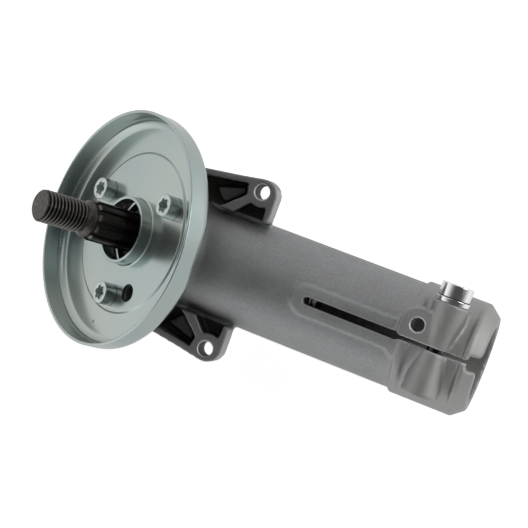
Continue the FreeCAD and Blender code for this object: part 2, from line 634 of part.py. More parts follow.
def ear():
    """One ear with its hole boss, outer walls, slanting rib and thin floor.

    The walls and the rib stop at the tube's widest line, so only the floor runs on into the tube.
    """
    right = EAR_HOLE_AHEAD + EAR_BOSS_R
    inner = BARREL_R / 2
    corners = [(right, inner), (right, EAR_HOLE_Y + EAR_BOSS_R, EAR_BOSS_R - 0.01)]
    corners += [(*EAR_SLOPE_AT, EAR_ROUND), (*EAR_FAR_CORNER, EAR_ROUND), EAR_TAIL, (EAR_TAIL[0], inner)]
    outline = rounded_outline(corners, lambda p: Vector(p.x, p.y, EAR_BACK))
    body = Part.Face(outline).extrude(Vector(0, 0, EAR_THICK))
    pocket = Part.Face(outline.makeOffset2D(-EAR_WALL)).extrude(Vector(0, 0, EAR_THICK))
    pocket.translate(Vector(0, 0, EAR_FLOOR))
    lean = EAR_RIB_HALF / math.sqrt(2)
    at_boss = [(EAR_HOLE_AHEAD + lean, EAR_HOLE_Y - lean), (EAR_HOLE_AHEAD - lean, EAR_HOLE_Y + lean)]
    rib = extruded(at_boss + [(x, BARREL_R) for x in EAR_RIB_FOOT], EAR_BACK, EAR_FRONT)
    clear = block(-REACH, REACH, 0, BARREL_R, EAR_BACK + EAR_FLOOR, EAR_FRONT + 1)
    boss = rod(EAR_BOSS_R, EAR_BACK, EAR_FRONT, EAR_HOLE_AHEAD, EAR_HOLE_Y)
    body = body.cut([pocket.cut([rib, boss]), clear])
    body.translate(CROSSING)
    return body


def clamp_casting():
    """Clamp end of the tube with its relieved sides, cross boss and locating screw boss."""
    along, across = CLAMP_EDGE
    corners = [(0, 0), (CLAMP_R - across, 0), (CLAMP_R, along), (CLAMP_R, CLAMP_LENGTH), (0, CLAMP_LENGTH)]
    clamp = turned(corners)
    clamp.rotate(Vector(0, 0, 0), Vector(0, 1, 0), -90)
    relief = block(-RELIEF_FROM - RELIEF_LENGTH, -RELIEF_FROM, -REACH, REACH, 0, REACH)
    keep = rod(CLAMP_RELIEF_R, -REACH, REACH)
    keep.rotate(Vector(0, 0, 0), Vector(0, 1, 0), 90)
    keep.translate(Vector(0, 0, -CLAMP_RELIEF_DROP))
    clamp = clamp.cut(relief.cut(keep))
    half = Part.makeCone(CROSS_BOSS_WAIST_R, CROSS_BOSS_R, CLAMP_SEAT_Y)
    cross = [facing_y(half, CLAMP_BOLT_X, 0, CLAMP_BOLT_Z, turn) for turn in (-90, 90)]
    post = rod(LOCATING_BOSS_R, 0, LOCATING_BOSS_TOP, LOCATING_X, LOCATING_Y)
    web = block(LOCATING_X - LOCATING_BOSS_R, LOCATING_X + LOCATING_BOSS_R, 0, LOCATING_Y,
                0, LOCATING_BOSS_TOP)
    return clamp.fuse(cross + [post, web])


def slot_pad():
    """Low raised pad round the tube's slot, widening into the clamp."""
    start = -CLAMP_LENGTH
    flare_at = start - PAD_FLARE_LENGTH
    wide = PAD_HALF_WIDTH + PAD_FLARE
    half = PAD_HALF_WIDTH
    far = -PAD_END
    corners = [(start, -wide), (flare_at + PAD_FLARE_LENGTH / 3, -half, PAD_FLARE)]
    corners += [(far, -half, half - 0.01), (far, half, half - 0.01)]
    corners += [(flare_at + PAD_FLARE_LENGTH / 3, half, PAD_FLARE), (start, wide)]
    pad = extruded(corners, 0, REACH)
    limit = rod(BARREL_R + PAD_RISE, -PAD_END - 1, 0)
    limit.rotate(Vector(0, 0, 0), Vector(0, 1, 0), 90)
    return pad.common(limit)


def slot_cuts():
    """Slot, slit and notch that let the clamp close on the drive tube."""
    half = SLOT_WIDTH / 2
    slot = extruded([(-SLOT_START, -half), (-SLOT_START, half), (-SLOT_END, half, half - 0.01),
                     (-SLOT_END, -half, half - 0.01)], 0, REACH)
    slit = block(-SLOT_START - 1, 1, -SLIT_WIDTH / 2, SLIT_WIDTH / 2, 0, REACH)
    edge = NOTCH_WIDTH / 2
    wide = edge + 2 * NOTCH_ROUND
    notch = extruded([(-NOTCH_DEPTH, -edge), (-NOTCH_DEPTH, edge), (0, edge, NOTCH_ROUND), (0, wide),
                      (1, wide), (1, -wide), (0, -wide), (0, -edge, NOTCH_ROUND)], 0, REACH)
    return [slot, slit, notch]


def shaft_bores():
    """Bores and grooves along the drive tube's axis."""
    grip = PINION_BEARING["outer"]
    groove_low = PINION_END
    groove_top = groove_low + CIRCLIP_THICK + 2 * GROOVE_GAP
    tube_end = PINION_TAIL_AT + PINION_TAIL_ROOM
    cuts = [rod(PINION_WAY_R, 0, PINION_SHOULDER_AT + 1), rod(grip, PINION_SHOULDER_AT, tube_end)]
    cuts += [rod(grip + CIRCLIP_BITE, groove_low, groove_top)]
    cuts += [rod(grip + CIRCLIP_BITE, groove_top + CIRCLIP_LAND, tube_end)]
    cuts += [rod(TUBE_BORE_R, tube_end, CROSSING_REACH + 1)]
    return [placed(cut, PINION_FRAME) for cut in cuts]


def head_bores():
    """Bores and grooves along the output shaft's axis."""
    seat = END_BEARING_AT + END_BEARING["width"] + GROOVE_GAP
    groove_top = OUTPUT_BEARING_TOP + OUTPUT_CIRCLIP_THICK + 2 * GROOVE_GAP
    land = LAND_SHARE * END_BEARING["ball"] * 2
    cuts = [rod(END_BEARING["pitch"] + land, HEAD_FOOT_AT, seat)]
    cuts += [rod(END_BEARING["outer"], END_BEARING_AT, seat)]
    cuts += [rod(CHAMBER_R, seat, OUTPUT_BEARING_AT)]
    cuts += [rod(OUTPUT_BEARING["outer"], OUTPUT_BEARING_AT, FLANGE_LEVEL + 1)]
    cuts += [rod(OUTPUT_BEARING["outer"] + CIRCLIP_BITE, OUTPUT_BEARING_TOP, groove_top)]
    lock_floor = FLANGE_LEVEL - LOCK_HOLE_DEPTH
    cuts.append(rod(LOCK_HOLE_R, lock_floor, FLANGE_LEVEL + 1, *on_circle(LOCK_CIRCLE_R, LOCK_ANGLE)))
    screw_low = DISC_LEVEL - DISH_SCREW_LENGTH - SCREW_END_ROOM
    for angle in DISH_SCREW_ANGLES.values():
        cuts.append(rod(DISH_SCREW_R, screw_low, FLANGE_LEVEL + 1, *on_circle(DISH_SCREW_CIRCLE_R, angle)))
    return [placed(cut, OUTPUT_FRAME) for cut in cuts]


def fastener_cuts():
    """Holes and seats of the clamp bolt, locating screw, ears and grease plug."""
    x, z = CLAMP_BOLT_X, CLAMP_BOLT_Z
    cuts = [facing_y(rod(CLAMP_BOLT_R + DRILL_GAP, 0, REACH), x, 0, z, -90)]
    cuts += [facing_y(rod(CLAMP_BOLT_R, -REACH, 0), x, 0, z, -90)]
    cuts += [facing_y(rod(CLAMP_WASHER_R + DRILL_GAP, CLAMP_SEAT_Y, REACH), x, 0, z, -90)]
    cuts.append(rod(LOCATING_THREAD_R, 0, REACH, LOCATING_X, LOCATING_Y))
    cuts.append(Part.makeCone(LOCATING_THREAD_R, LOCATING_THREAD_R + 2 * LOCATING_EDGE, 2 * LOCATING_EDGE,
                              Vector(LOCATING_X, LOCATING_Y, LOCATING_BOSS_TOP - LOCATING_EDGE)))
    ear_x = EAR_HOLE_AHEAD - CROSSING_REACH
    for y in (EAR_HOLE_Y, -EAR_HOLE_Y):
        cuts.append(rod(EAR_HOLE_R, 0, REACH, ear_x, y))
        cuts.append(Part.makeCone(EAR_HOLE_R, EAR_HOLE_R + 2 * EAR_HOLE_EDGE, 2 * EAR_HOLE_EDGE,
                                  Vector(ear_x, y, EAR_FRONT - EAR_HOLE_EDGE)))
    plug_hole = rod(PLUG_R, 0, PLUG_BOSS_REACH + 1)
    cuts.append(facing_y(plug_hole, PLUG_X - CROSSING_REACH, 0, PLUG_Z, 90))
    return cuts


def gear_housing():
    """The whole casting: head, tube, ears, slot pad and clamp, with every bore."""
    upper = ear()
    lower = upper.mirror(Vector(0, 0, 0), Vector(0, 1, 0))
    plug_boss = rod(PLUG_BOSS_R, 0, PLUG_BOSS_REACH)
    plug_boss = facing_y(plug_boss, PLUG_X - CROSSING_REACH, 0, PLUG_Z, 90)
    casting = head_casting().fuse([upper, lower, slot_pad(), clamp_casting(), plug_boss])
    casting = casting.cut(shaft_bores() + head_bores() + fastener_cuts() + slot_cuts())
    return casting.removeSplitter()


# All pieces by name
def all_pieces():
    """Every piece of the gear head, in its place."""
    pieces = {"gear_housing": gear_housing(), "guard_dish": guard_dish()}
    for name, angle in DISH_SCREW_ANGLES.items():
        pieces[name] = dish_screw(angle)
    pieces["clamp_bolt"] = clamp_bolt()
    pieces["clamp_washer"] = clamp_washer()
    pieces["grease_plug"] = grease_plug()
    pieces["grease_plug_washer"] = grease_plug_washer()
    pieces["output_shaft"] = output_shaft()
    pieces["driven_gear"] = driven_gear()
    pieces["gear_key"] = key_block()
    pieces["pinion_shaft"] = pinion_shaft()
    rear_at = PINION_SHOULDER_AT + PINION_BEARING["width"] + BEARING_SPACING
    seats = {"output_bearing": (OUTPUT_BEARING, OUTPUT_FRAME, OUTPUT_BEARING_AT),
             "end_bearing": (END_BEARING, OUTPUT_FRAME, END_BEARING_AT),
             "pinion_front_bearing": (PINION_BEARING, PINION_FRAME, PINION_SHOULDER_AT),
             "pinion_rear_bearing": (PINION_BEARING, PINION_FRAME, rear_at)}
    for name, (bearing, frame, height) in seats.items():
        for piece, shape in bearing_pieces(bearing).items():
            shape.translate(Vector(0, 0, height))
            pieces[name + "_" + piece] = placed(shape, frame)
    for name in ("output_bearing", "pinion_rear_bearing"):
        bearing, frame, height = seats[name]
        seal = bearing_seal(bearing)
        seal.translate(Vector(0, 0, height))
        pieces[name + "_seal"] = placed(seal, frame)
    gap_low = PINION_SHOULDER_AT + PINION_BEARING["width"]
    gap_top = gap_low + BEARING_SPACING
    bore = PINION_BEARING["bore"]
    seat = PINION_BEARING["outer"]
    pieces["pinion_spacer"] = placed(ring(bore, bore + SPACER_WALL, gap_low, gap_top), PINION_FRAME)
    pieces["pinion_outer_spacer"] = placed(ring(seat - SPACER_WALL, seat, gap_low, gap_top), PINION_FRAME)
    clips = {"output_bearing_circlip": (OUTPUT_BEARING["outer"], OUTPUT_CIRCLIP_THICK, True,
                                        OUTPUT_FRAME, OUTPUT_BEARING_TOP),
             "output_shaft_circlip": (OUTPUT_BEARING["bore"], CIRCLIP_THICK, False,
                                      OUTPUT_FRAME, OUTPUT_BEARING_TOP),
             "pinion_housing_circlip": (seat, CIRCLIP_THICK, True, PINION_FRAME, PINION_END),
             "pinion_shaft_circlip": (bore, CIRCLIP_THICK, False, PINION_FRAME, PINION_END)}
    for name, (radius, thick, outside, frame, height) in clips.items():
        clip = circlip(radius, thick, outside)
        clip.translate(Vector(0, 0, height + GROOVE_GAP))
        pieces[name] = placed(clip, frame)
    return pieces


os.makedirs("parts", exist_ok=True)
for node, shape in all_pieces().items():
    shape.exportStep("parts/" + node + ".step")
    print(node, round(shape.Volume, 1), len(shape.Solids), shape.isValid())
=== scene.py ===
# %% [markdown]
# This scene dresses the gear head of a brush cutter. A drive tube is clamped in the right end of the
# casting, two bevel gears turn the motion through an angle inside the head, and the splined shaft on the
# left carries the cutting tool. The solid model gives every piece its true place. Here the pieces that show
# get smooth surfaces, a thread and real finishes, and the rest keeps its solid and gets a plain material.

import json
import math

import bmesh
import bpy
import numpy as np
from mathutils import Matrix, Vector, geometry

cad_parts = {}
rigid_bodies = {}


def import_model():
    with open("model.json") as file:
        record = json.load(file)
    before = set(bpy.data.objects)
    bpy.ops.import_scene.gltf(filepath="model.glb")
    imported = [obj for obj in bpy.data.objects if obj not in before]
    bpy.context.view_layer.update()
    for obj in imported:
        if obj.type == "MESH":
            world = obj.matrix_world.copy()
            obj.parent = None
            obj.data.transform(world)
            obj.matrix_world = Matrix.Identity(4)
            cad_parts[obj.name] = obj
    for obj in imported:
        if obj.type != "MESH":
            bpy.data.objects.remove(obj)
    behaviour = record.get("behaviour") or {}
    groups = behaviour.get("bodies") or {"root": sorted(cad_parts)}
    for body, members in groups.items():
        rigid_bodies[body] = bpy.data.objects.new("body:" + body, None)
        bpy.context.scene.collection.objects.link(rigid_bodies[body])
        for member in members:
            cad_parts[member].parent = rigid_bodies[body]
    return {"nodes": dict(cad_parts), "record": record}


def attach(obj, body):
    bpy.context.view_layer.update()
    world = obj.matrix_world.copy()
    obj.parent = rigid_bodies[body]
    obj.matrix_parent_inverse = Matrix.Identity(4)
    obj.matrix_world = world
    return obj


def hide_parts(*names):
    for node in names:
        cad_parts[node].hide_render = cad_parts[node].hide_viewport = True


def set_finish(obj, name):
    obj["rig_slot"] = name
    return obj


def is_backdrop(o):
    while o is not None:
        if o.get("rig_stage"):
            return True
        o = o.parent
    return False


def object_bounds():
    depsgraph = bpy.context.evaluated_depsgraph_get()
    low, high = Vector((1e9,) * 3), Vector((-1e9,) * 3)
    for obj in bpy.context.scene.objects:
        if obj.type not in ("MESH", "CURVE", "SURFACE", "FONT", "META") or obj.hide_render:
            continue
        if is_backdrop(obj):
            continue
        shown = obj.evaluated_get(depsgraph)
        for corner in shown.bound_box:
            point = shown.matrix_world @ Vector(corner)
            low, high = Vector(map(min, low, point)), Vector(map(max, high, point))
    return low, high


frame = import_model()
nodes = frame["nodes"]
solid_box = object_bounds()
print("solid model:", len(nodes), "nodes, box in metres", solid_box)

# %% [markdown]
# All sizes below are in millimetres, as on a workshop drawing, and become metres only when a mesh is made.
# The output shaft leans back from the drive tube. Its own axes are n along the shaft, u across it in the
# plane of both shafts, and y straight across. The two shafts cross at one point inside the head, and the dish
# stands at a fixed height above it.

# %% Axes of the output shaft
CROSSING = np.array([-124.66, 0.0, 0.0])
SHAFT_ANGLE, DISH_LEVEL = math.radians(125.0), 22.0
N = np.array([math.cos(SHAFT_ANGLE), 0.0, math.sin(SHAFT_ANGLE)])
U = np.array([N[2], 0.0, -N[0]])
Y = np.array([0.0, 1.0, 0.0])


def on_shaft(across, side, along):
    """Points in the object's frame: the crossing point + across * u + side * y + along * n."""
    across, side, along = np.broadcast_arrays(across, side, along)
    return CROSSING + across[..., None] * U + side[..., None] * Y + along[..., None] * N


print("the middle of the dish is at", on_shaft(0.0, 0.0, DISH_LEVEL).round(1))

# %% [markdown]
# Every turned or pressed piece is a grid of points that closes on itself around an axis. One helper turns
# such a grid into a mesh, joins the last column to the first, and shrinks a row that sits on the axis to a
# single point, so that no hole or crease is left there. Another gives a finished piece its sharp edges, its
# body and its finish.


# %% Grids of points become meshes
def mesh_from(name, points, faces, sizes):
    """Mesh from points in millimetres and faces given as one run of corner numbers and a size for each."""
    mesh = bpy.data.meshes.new(name)
    mesh.vertices.add(len(points))
    mesh.vertices.foreach_set("co", (np.asarray(points) / 1000.0).ravel())
    mesh.loops.add(len(faces))
    mesh.loops.foreach_set("vertex_index", np.asarray(faces, dtype=np.int32))
    starts = np.concatenate([[0], np.cumsum(sizes)[:-1]]).astype(np.int32)
    mesh.polygons.add(len(sizes))
    mesh.polygons.foreach_set("loop_start", starts)
    mesh.update(calc_edges=True)
    mesh.validate()
    return mesh


def signed_volume(mesh):
    """Volume inside a closed mesh: a sixth of the sum of a . (b x c) over its triangles."""
    mesh.calc_loop_triangles()
    corners = np.empty(len(mesh.loop_triangles) * 3, dtype=np.int32)
    mesh.loop_triangles.foreach_get("vertices", corners)
    points = np.empty(len(mesh.vertices) * 3)
    mesh.vertices.foreach_get("co", points)
    a, b, c = points.reshape(-1, 3)[corners.reshape(-1, 3)].transpose(1, 0, 2)
    return float(np.einsum("ij,ij->i", a, np.cross(b, c)).sum() / 6.0)


def piece_from(mesh, body, replaced, material_slot, sharp=35.0):
    """Object for a finished mesh: faces outwards, smooth up to an angle, riding on its body."""
    if signed_volume(mesh) < 0:
        mesh.flip_normals()
    mesh.shade_smooth()
    mesh.set_sharp_from_angle(angle=math.radians(sharp))
    piece = bpy.data.objects.new(mesh.name, mesh)
    bpy.context.scene.collection.objects.link(piece)
    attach(piece, body)
    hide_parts(*replaced)
    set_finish(piece, material_slot)
    print(piece.name, len(mesh.polygons), "faces, volume", round(signed_volume(mesh) * 1e9, 1), "cubic mm")


def closed_grid(name, grid, ring=False):
    """Closed mesh over grid[row, column]: columns join up, end rows are poles, or the rows join up too."""
    rows, columns = grid.shape[:2]
    index = np.arange(rows * columns).reshape(rows, columns)
    points = grid.reshape(-1, 3)
    if not ring:
        points = np.concatenate([points, grid[:1, 0], grid[-1:, 0]])
        index = np.vstack([np.full(columns, len(points) - 2), index[1:-1], np.full(columns, len(points) - 1)])
    below = index if ring else index[:-1]
    above = np.roll(index, -1, axis=0) if ring else index[1:]
    quads = np.stack([below, np.roll(below, -1, axis=1), np.roll(above, -1, axis=1), above], axis=-1)
    quads = quads.reshape(-1, 4)
    fan_low = quads[:, 0] == quads[:, 1]
    fan_high = quads[:, 2] == quads[:, 3]
    body = quads[~(fan_low | fan_high)]
    low = quads[fan_low][:, [0, 2, 3]]
    high = quads[fan_high][:, [0, 1, 2]]
    faces = np.concatenate([body.ravel(), low.ravel(), high.ravel()])
    sizes = np.concatenate([np.full(len(body), 4), np.full(len(low) + len(high), 3)])
    used, faces = np.unique(faces, return_inverse=True)
    return mesh_from(name, points[used], faces.ravel(), sizes)


print("helpers for meshes:", [f.__name__ for f in (mesh_from, signed_volume, piece_from, closed_grid)])

# %% [markdown]
# Bent sheet and machined edges are rounded. A profile is therefore a list of corners, each with a radius,
# and a helper replaces every corner by points on the arc that touches both of its sides.


# %% Profiles with rounded corners
def rounded(corners, steps=7):
    """Points along a closed profile of (radius, height, corner radius), with an arc at each corner.

    The arc touches both sides, so its centre lies on the corner's bisector, at radius / sin(half angle).
    """
    corners = [(*c, 0.0)[:3] for c in corners]
    found = []
    for i, (x, y, r) in enumerate(corners):
        here = np.array([x, y])
        back = np.array(corners[i - 1][:2]) - here
        ahead = np.array(corners[(i + 1) % len(corners)][:2]) - here
        back, ahead = back / np.linalg.norm(back), ahead / np.linalg.norm(ahead)
        half = math.acos(float(np.clip(back @ ahead, -1, 1))) / 2
        if r == 0.0:
            found.append(here)
            continue
        middle = here + (back + ahead) / np.linalg.norm(back + ahead) * r / math.sin(half)
        first, last = here + back * r / math.tan(half), here + ahead * r / math.tan(half)
        share = np.linspace(0.0, 1.0, steps)[:, None]
        chord = first + (last - first) * share - middle
        found.extend(middle + chord / np.linalg.norm(chord, axis=1)[:, None] * r)
    return np.array(found)


def with_supports(profile, reach=0.25):
    """The profile with one more point close to each end of every long straight run, to hold its shading."""
    ahead = np.roll(profile, -1, axis=0)
    run = ahead - profile
    length = np.linalg.norm(run, axis=1)
    unit = run / length[:, None]
    parts = [[p, p + e * reach, q - e * reach] if s > 4 * reach else [p]
             for p, q, e, s in zip(profile, ahead, unit, length)]
    return np.array([point for part in parts for point in part])


def circle(count):
    """Angles evenly spaced over one turn, in radians."""
    return 2 * np.pi * np.arange(count) / count


print("a square with four round corners has",
      len(rounded([(1.0, 0.0, 0.2), (2.0, 0.0, 0.2), (2.0, 1.0, 0.2), (1.0, 1.0, 0.2)])), "points")

# %% [markdown]
# The guard dish is one pressed sheet of zinc plated steel: a raised disc with a drawn collar in the middle,
# a flat band, a soft bend and a turned-up rim. Most of it is a profile carried round the shaft. The profile
# stops on both sides of the flat disc, because that has holes off the centre.

# %% Profile of the guard dish
SHEET, DISC_RAISE = 1.2, 0.6
FLAT_FROM, FLAT_TO = 15.0, 29.6
STEP_FROM, STEP_TO, STEP_BEND = 30.4, 31.2, 0.55
RIM_R, RIM_HEIGHT, RIM_BEND = 45.0, 9.4, 3.6
COLLAR_R, COLLAR_HEIGHT = 11.6, 5.1
EDGE_SOFT, COLLAR_SOFT = 0.4, 0.35

top, under, collar_top = DISC_RAISE, DISC_RAISE - SHEET, DISC_RAISE + COLLAR_HEIGHT
back = SHEET * math.tan(math.atan2(DISC_RAISE, STEP_TO - STEP_FROM) / 2)
outer_part = rounded([
    (FLAT_TO, top), (STEP_FROM, top, STEP_BEND), (STEP_TO, 0.0, STEP_BEND), (RIM_R - SHEET, 0.0, RIM_BEND),
    (RIM_R - SHEET, RIM_HEIGHT, EDGE_SOFT), (RIM_R, RIM_HEIGHT, EDGE_SOFT), (RIM_R, -SHEET, RIM_BEND + SHEET),
    (STEP_TO - back, -SHEET, STEP_BEND), (STEP_FROM - back, under, STEP_BEND), (FLAT_TO, under)], 12)
inner_part = rounded([
    (FLAT_FROM, under), (COLLAR_R, under, 2.0), (COLLAR_R, collar_top, COLLAR_SOFT),
    (COLLAR_R + SHEET, collar_top, COLLAR_SOFT), (COLLAR_R + SHEET, top, 0.8), (FLAT_FROM, top)], 12)
print("the dish's profile has", len(outer_part), "points outside the disc and", len(inner_part), "inside it")

# %% [markdown]
# No turned surface can hold holes off the centre. The flat disc is therefore a flat net of triangles between
# its circles, above and below, and the walls of the holes join the two nets. Cutting the holes out of a
# turned sheet would do too, but can leave thin slivers that shade badly.

# %% Parts of the guard dish
SCREW_CIRCLE, SCREW_ANGLES = 24.8, (153.9, 35.6, -88.3)
HOLES = [(23.7, -62.7, 3.4), *[(SCREW_CIRCLE, angle, 2.7) for angle in SCREW_ANGLES]]
TURNS, HOLE_SIDES = 288, 48


def turned_strip(profile, offset):
    """Points and quads of an open profile of (radius, height) carried round the shaft."""
    theta = circle(TURNS)[None, :]
    radius, height = profile[:, :1], profile[:, 1:]
    points = on_shaft(radius * np.cos(theta), radius * np.sin(theta), height + DISH_LEVEL)
    index = np.arange(points.shape[0] * TURNS).reshape(-1, TURNS) + offset
    quads = np.stack([index[:-1], np.roll(index[:-1], -1, 1), np.roll(index[1:], -1, 1), index[1:]], -1)
    return points.reshape(-1, 3), quads.reshape(-1, 4)


def polar(distance, angle):
    """Place (x, y) at a distance from the centre and an angle in degrees."""
    return distance * math.cos(math.radians(angle)), distance * math.sin(math.radians(angle))


def flat_ring(height, flip, offset):
    """Points and triangles of the flat ring at one height, open at each hole."""
    rings = [(FLAT_FROM, 0.0, 0.0, TURNS), (FLAT_TO, 0.0, 0.0, TURNS)]
    rings += [(r, *polar(d, a), HOLE_SIDES) for d, a, r in HOLES]
    spots, edges = [], []
    for radius, x, y, count in rings:
        t = circle(count)
        edges += [(len(spots) + k, len(spots) + (k + 1) % count) for k in range(count)]
        spots += [Vector(p) for p in zip(x + radius * np.cos(t), y + radius * np.sin(t))]
    flat, _, faces, *_ = geometry.delaunay_2d_cdt(spots, edges, [], 0, 1e-6)
    flat = np.array([tuple(p) for p in flat])
    faces = np.array([tuple(f) for f in faces])
    middle = flat[faces].mean(axis=1)
    keep = np.hypot(*middle.T) > FLAT_FROM * math.cos(math.pi / TURNS) - 1e-4
    # A circle of straight sides lies inside its true radius, so a hole's own triangles are told by that
    for radius, x, y, count in rings[2:]:
        keep &= np.hypot(middle[:, 0] - x, middle[:, 1] - y) > radius * math.cos(math.pi / count) - 1e-4
    faces = faces[keep][:, ::-1] if flip else faces[keep]
    return on_shaft(flat[:, 0], flat[:, 1], np.full(len(flat), height + DISH_LEVEL)), faces + offset


def hole_wall(distance, angle, radius, offset):
    """Points and quads of one hole's wall, through the sheet."""
    t = circle(HOLE_SIDES)[None, :]
    x, y = polar(distance, angle)
    level = np.array([[under], [top]]) + DISH_LEVEL
    points = on_shaft(x + radius * np.cos(t), y + radius * np.sin(t), level)
    index = np.arange(2 * HOLE_SIDES).reshape(2, HOLE_SIDES) + offset
    quads = np.stack([index[0], index[1], np.roll(index[1], -1), np.roll(index[0], -1)], -1)
    return points.reshape(-1, 3), quads


print("the dish has", len(HOLES), "holes")

# %% [markdown]
# The parts are put into one mesh and joined where their points meet. A press leaves no seam, so the mesh must
# not have one either: every edge has to have two faces, which the last line counts.

# %% Guard dish
parts, count = [], 0
for make, *given in ((turned_strip, with_supports(outer_part)[:-2]),
                     (turned_strip, with_supports(inner_part)[:-2]),
                     (flat_ring, top, False), (flat_ring, under, True), *[(hole_wall, *h) for h in HOLES]):
    parts.append(make(*given, count))
    count += len(parts[-1][0])
points = np.concatenate([p for p, _ in parts])
corners = np.concatenate([f.ravel() for _, f in parts])
sizes = np.concatenate([np.full(len(f), f.shape[1]) for _, f in parts])
dish_mesh = mesh_from("dish", points, corners, sizes)
joined = bmesh.new()
joined.from_mesh(dish_mesh)
bmesh.ops.remove_doubles(joined, verts=joined.verts, dist=2e-6)
bmesh.ops.recalc_face_normals(joined, faces=joined.faces)
open_edges = sum(1 for e in joined.edges if len(e.link_faces) != 2)
joined.to_mesh(dish_mesh)
joined.free()
piece_from(dish_mesh, "housing", ["guard_dish"], "zinc_sheet", 40.0)
print("open edges of the dish:", open_edges)

# %% [markdown]
# The output shaft is turned, splined and threaded. Its turned form is a list of radius and height, from the
# tail inside the head to the tip. The grid over it has more rows where the thread runs and more columns at
# the walls of the ten grooves, so that every edge falls on a line of points.

# %% Turned form and grid of the output shaft
TAIL, TIP, THREAD_FROM, PITCH = -35.8, 63.6, 46.8, 1.5
SPLINES, HALF_SPLINE = 10, np.radians(18.0)
plain = np.array([
    (0.0, TAIL), (4.5, TAIL), (5.0, -35.3), (5.0, -26.3), (6.0, -26.29), (6.0, -12.4), (7.8, -12.39),
    (7.8, 3.5), (9.0, 3.51), (9.0, 7.49), (7.5, 7.5), (7.5, 18.5), (6.8, 18.51), (6.8, 19.89), (7.5, 19.9),
    (7.5, 41.35), (7.38, 41.5), (6.98, 42.2), (6.9, 42.35), (6.9, 43.6), (6.8, 43.85), (5.42, 44.95),
    (5.3, 45.15), (5.3, 46.2), (5.42, 46.38), (6.0, THREAD_FROM), (6.0, 62.8), (5.9, 62.98), (5.3, 63.52),
    (5.2, TIP), (0.0, TIP)])
runs = [(20.9, 21.1, 3), (21.1, 41.2, 8), (41.3, 43.3, 12), (43.3, THREAD_FROM, 22), (THREAD_FROM, TIP, 157)]
heights = np.unique(np.concatenate([plain[:, 1], *[np.linspace(*run) for run in runs]]))
half = np.radians([0.0, 2.4, 4.8, 6.6, 7.18, 7.8, 8.6, 9.3, 9.75, 10.6, 12.5, 15.2])
period = np.concatenate([half, HALF_SPLINE + (HALF_SPLINE - half[:0:-1])])
angles = (HALF_SPLINE + 2 * HALF_SPLINE * np.arange(SPLINES)[:, None] + period[None, :]).ravel()
print("the shaft's grid has", len(heights), "rows and", len(angles), "columns")

# %% [markdown]
# One function gives the shaft's radius for any angle and any height: the turned form, cut down by the tapered
# grooves, by the gear's keyway and by a left-hand thread. Cutting them one by one with solids would be slow
# and would leave long thin faces along the thread.

# %% Output shaft
GROOVES, KEYWAY, KEY_FLOOR, KEY_HALF = (21.0, 43.05), (-25.3, -17.3), 4.2, 1.5
THREAD_R, THREAD_DEPTH, RUN_OUT = 5.98, 0.90, 0.2


def shaft_radius(theta, s):
    """Radius at angle theta and height s: the least of profile, grooves, keyway and thread.

    A groove's wall runs from (floor 6.35, half width 0.8) to (top 7.5, half width 1.25). The thread's depth
    follows a triangle wave of s / pitch + theta / turn, whose sign makes it left-hand. The keyway's floor is
    a flat, so its radius is the floor's distance / cos(angle from the key).
    """
    r = np.interp(s, plain[1:-1, 1], plain[1:-1, 0]) + 0 * theta
    phi = np.degrees(np.abs((theta + HALF_SPLINE) % (2 * HALF_SPLINE) - HALF_SPLINE))
    groove = np.interp(phi, [0.0, 7.18, 9.6, 9.75], [6.35, 6.40, 7.5, 9.0])
    r = np.where((s >= GROOVES[0]) & (s <= GROOVES[1]), np.minimum(r, groove + 0 * s), r)
    wave = np.abs(2 * ((s / PITCH + theta / (2 * np.pi)) % 1.0) - 1)
    thread = THREAD_R - THREAD_DEPTH * np.clip((wave - 0.12) / 0.76, 0.0, 1.0)
    r = np.where(s >= THREAD_FROM - RUN_OUT, np.minimum(r, thread), r)
    off_key = np.abs(np.angle(np.exp(1j * (theta - np.pi))))
    key = np.where(off_key < math.atan2(KEY_HALF, KEY_FLOOR), KEY_FLOOR / np.cos(np.minimum(off_key, 1.0)), r)
    return np.where((s > KEYWAY[0]) & (s < KEYWAY[1]), np.minimum(r, key), r)


theta, s = np.meshgrid(angles, heights)
caps = [np.full((1, len(angles)), end) for end in (TAIL, TIP)]
theta = np.vstack([theta[:1], theta, theta[:1]])
s = np.vstack([caps[0], s, caps[1]])
radius = np.vstack([0 * theta[:1], shaft_radius(theta[1:-1], s[1:-1]), 0 * theta[:1]])
shaft_grid = on_shaft(radius * np.cos(theta), radius * np.sin(theta), s)
piece_from(closed_grid("output_shaft_threaded", shaft_grid), "output_rotor", ["output_shaft"],
           "phosphated_steel", 38.0)

# %% [markdown]
# Three screws hold the dish. Like the clamp bolt they have a cylinder head with a six-lobe recess. Around the
# head the outline is a circle, and towards the recess it blends into a curve with six soft lobes, so one grid
# of radius over angle and profile makes the whole screw without cutting anything.


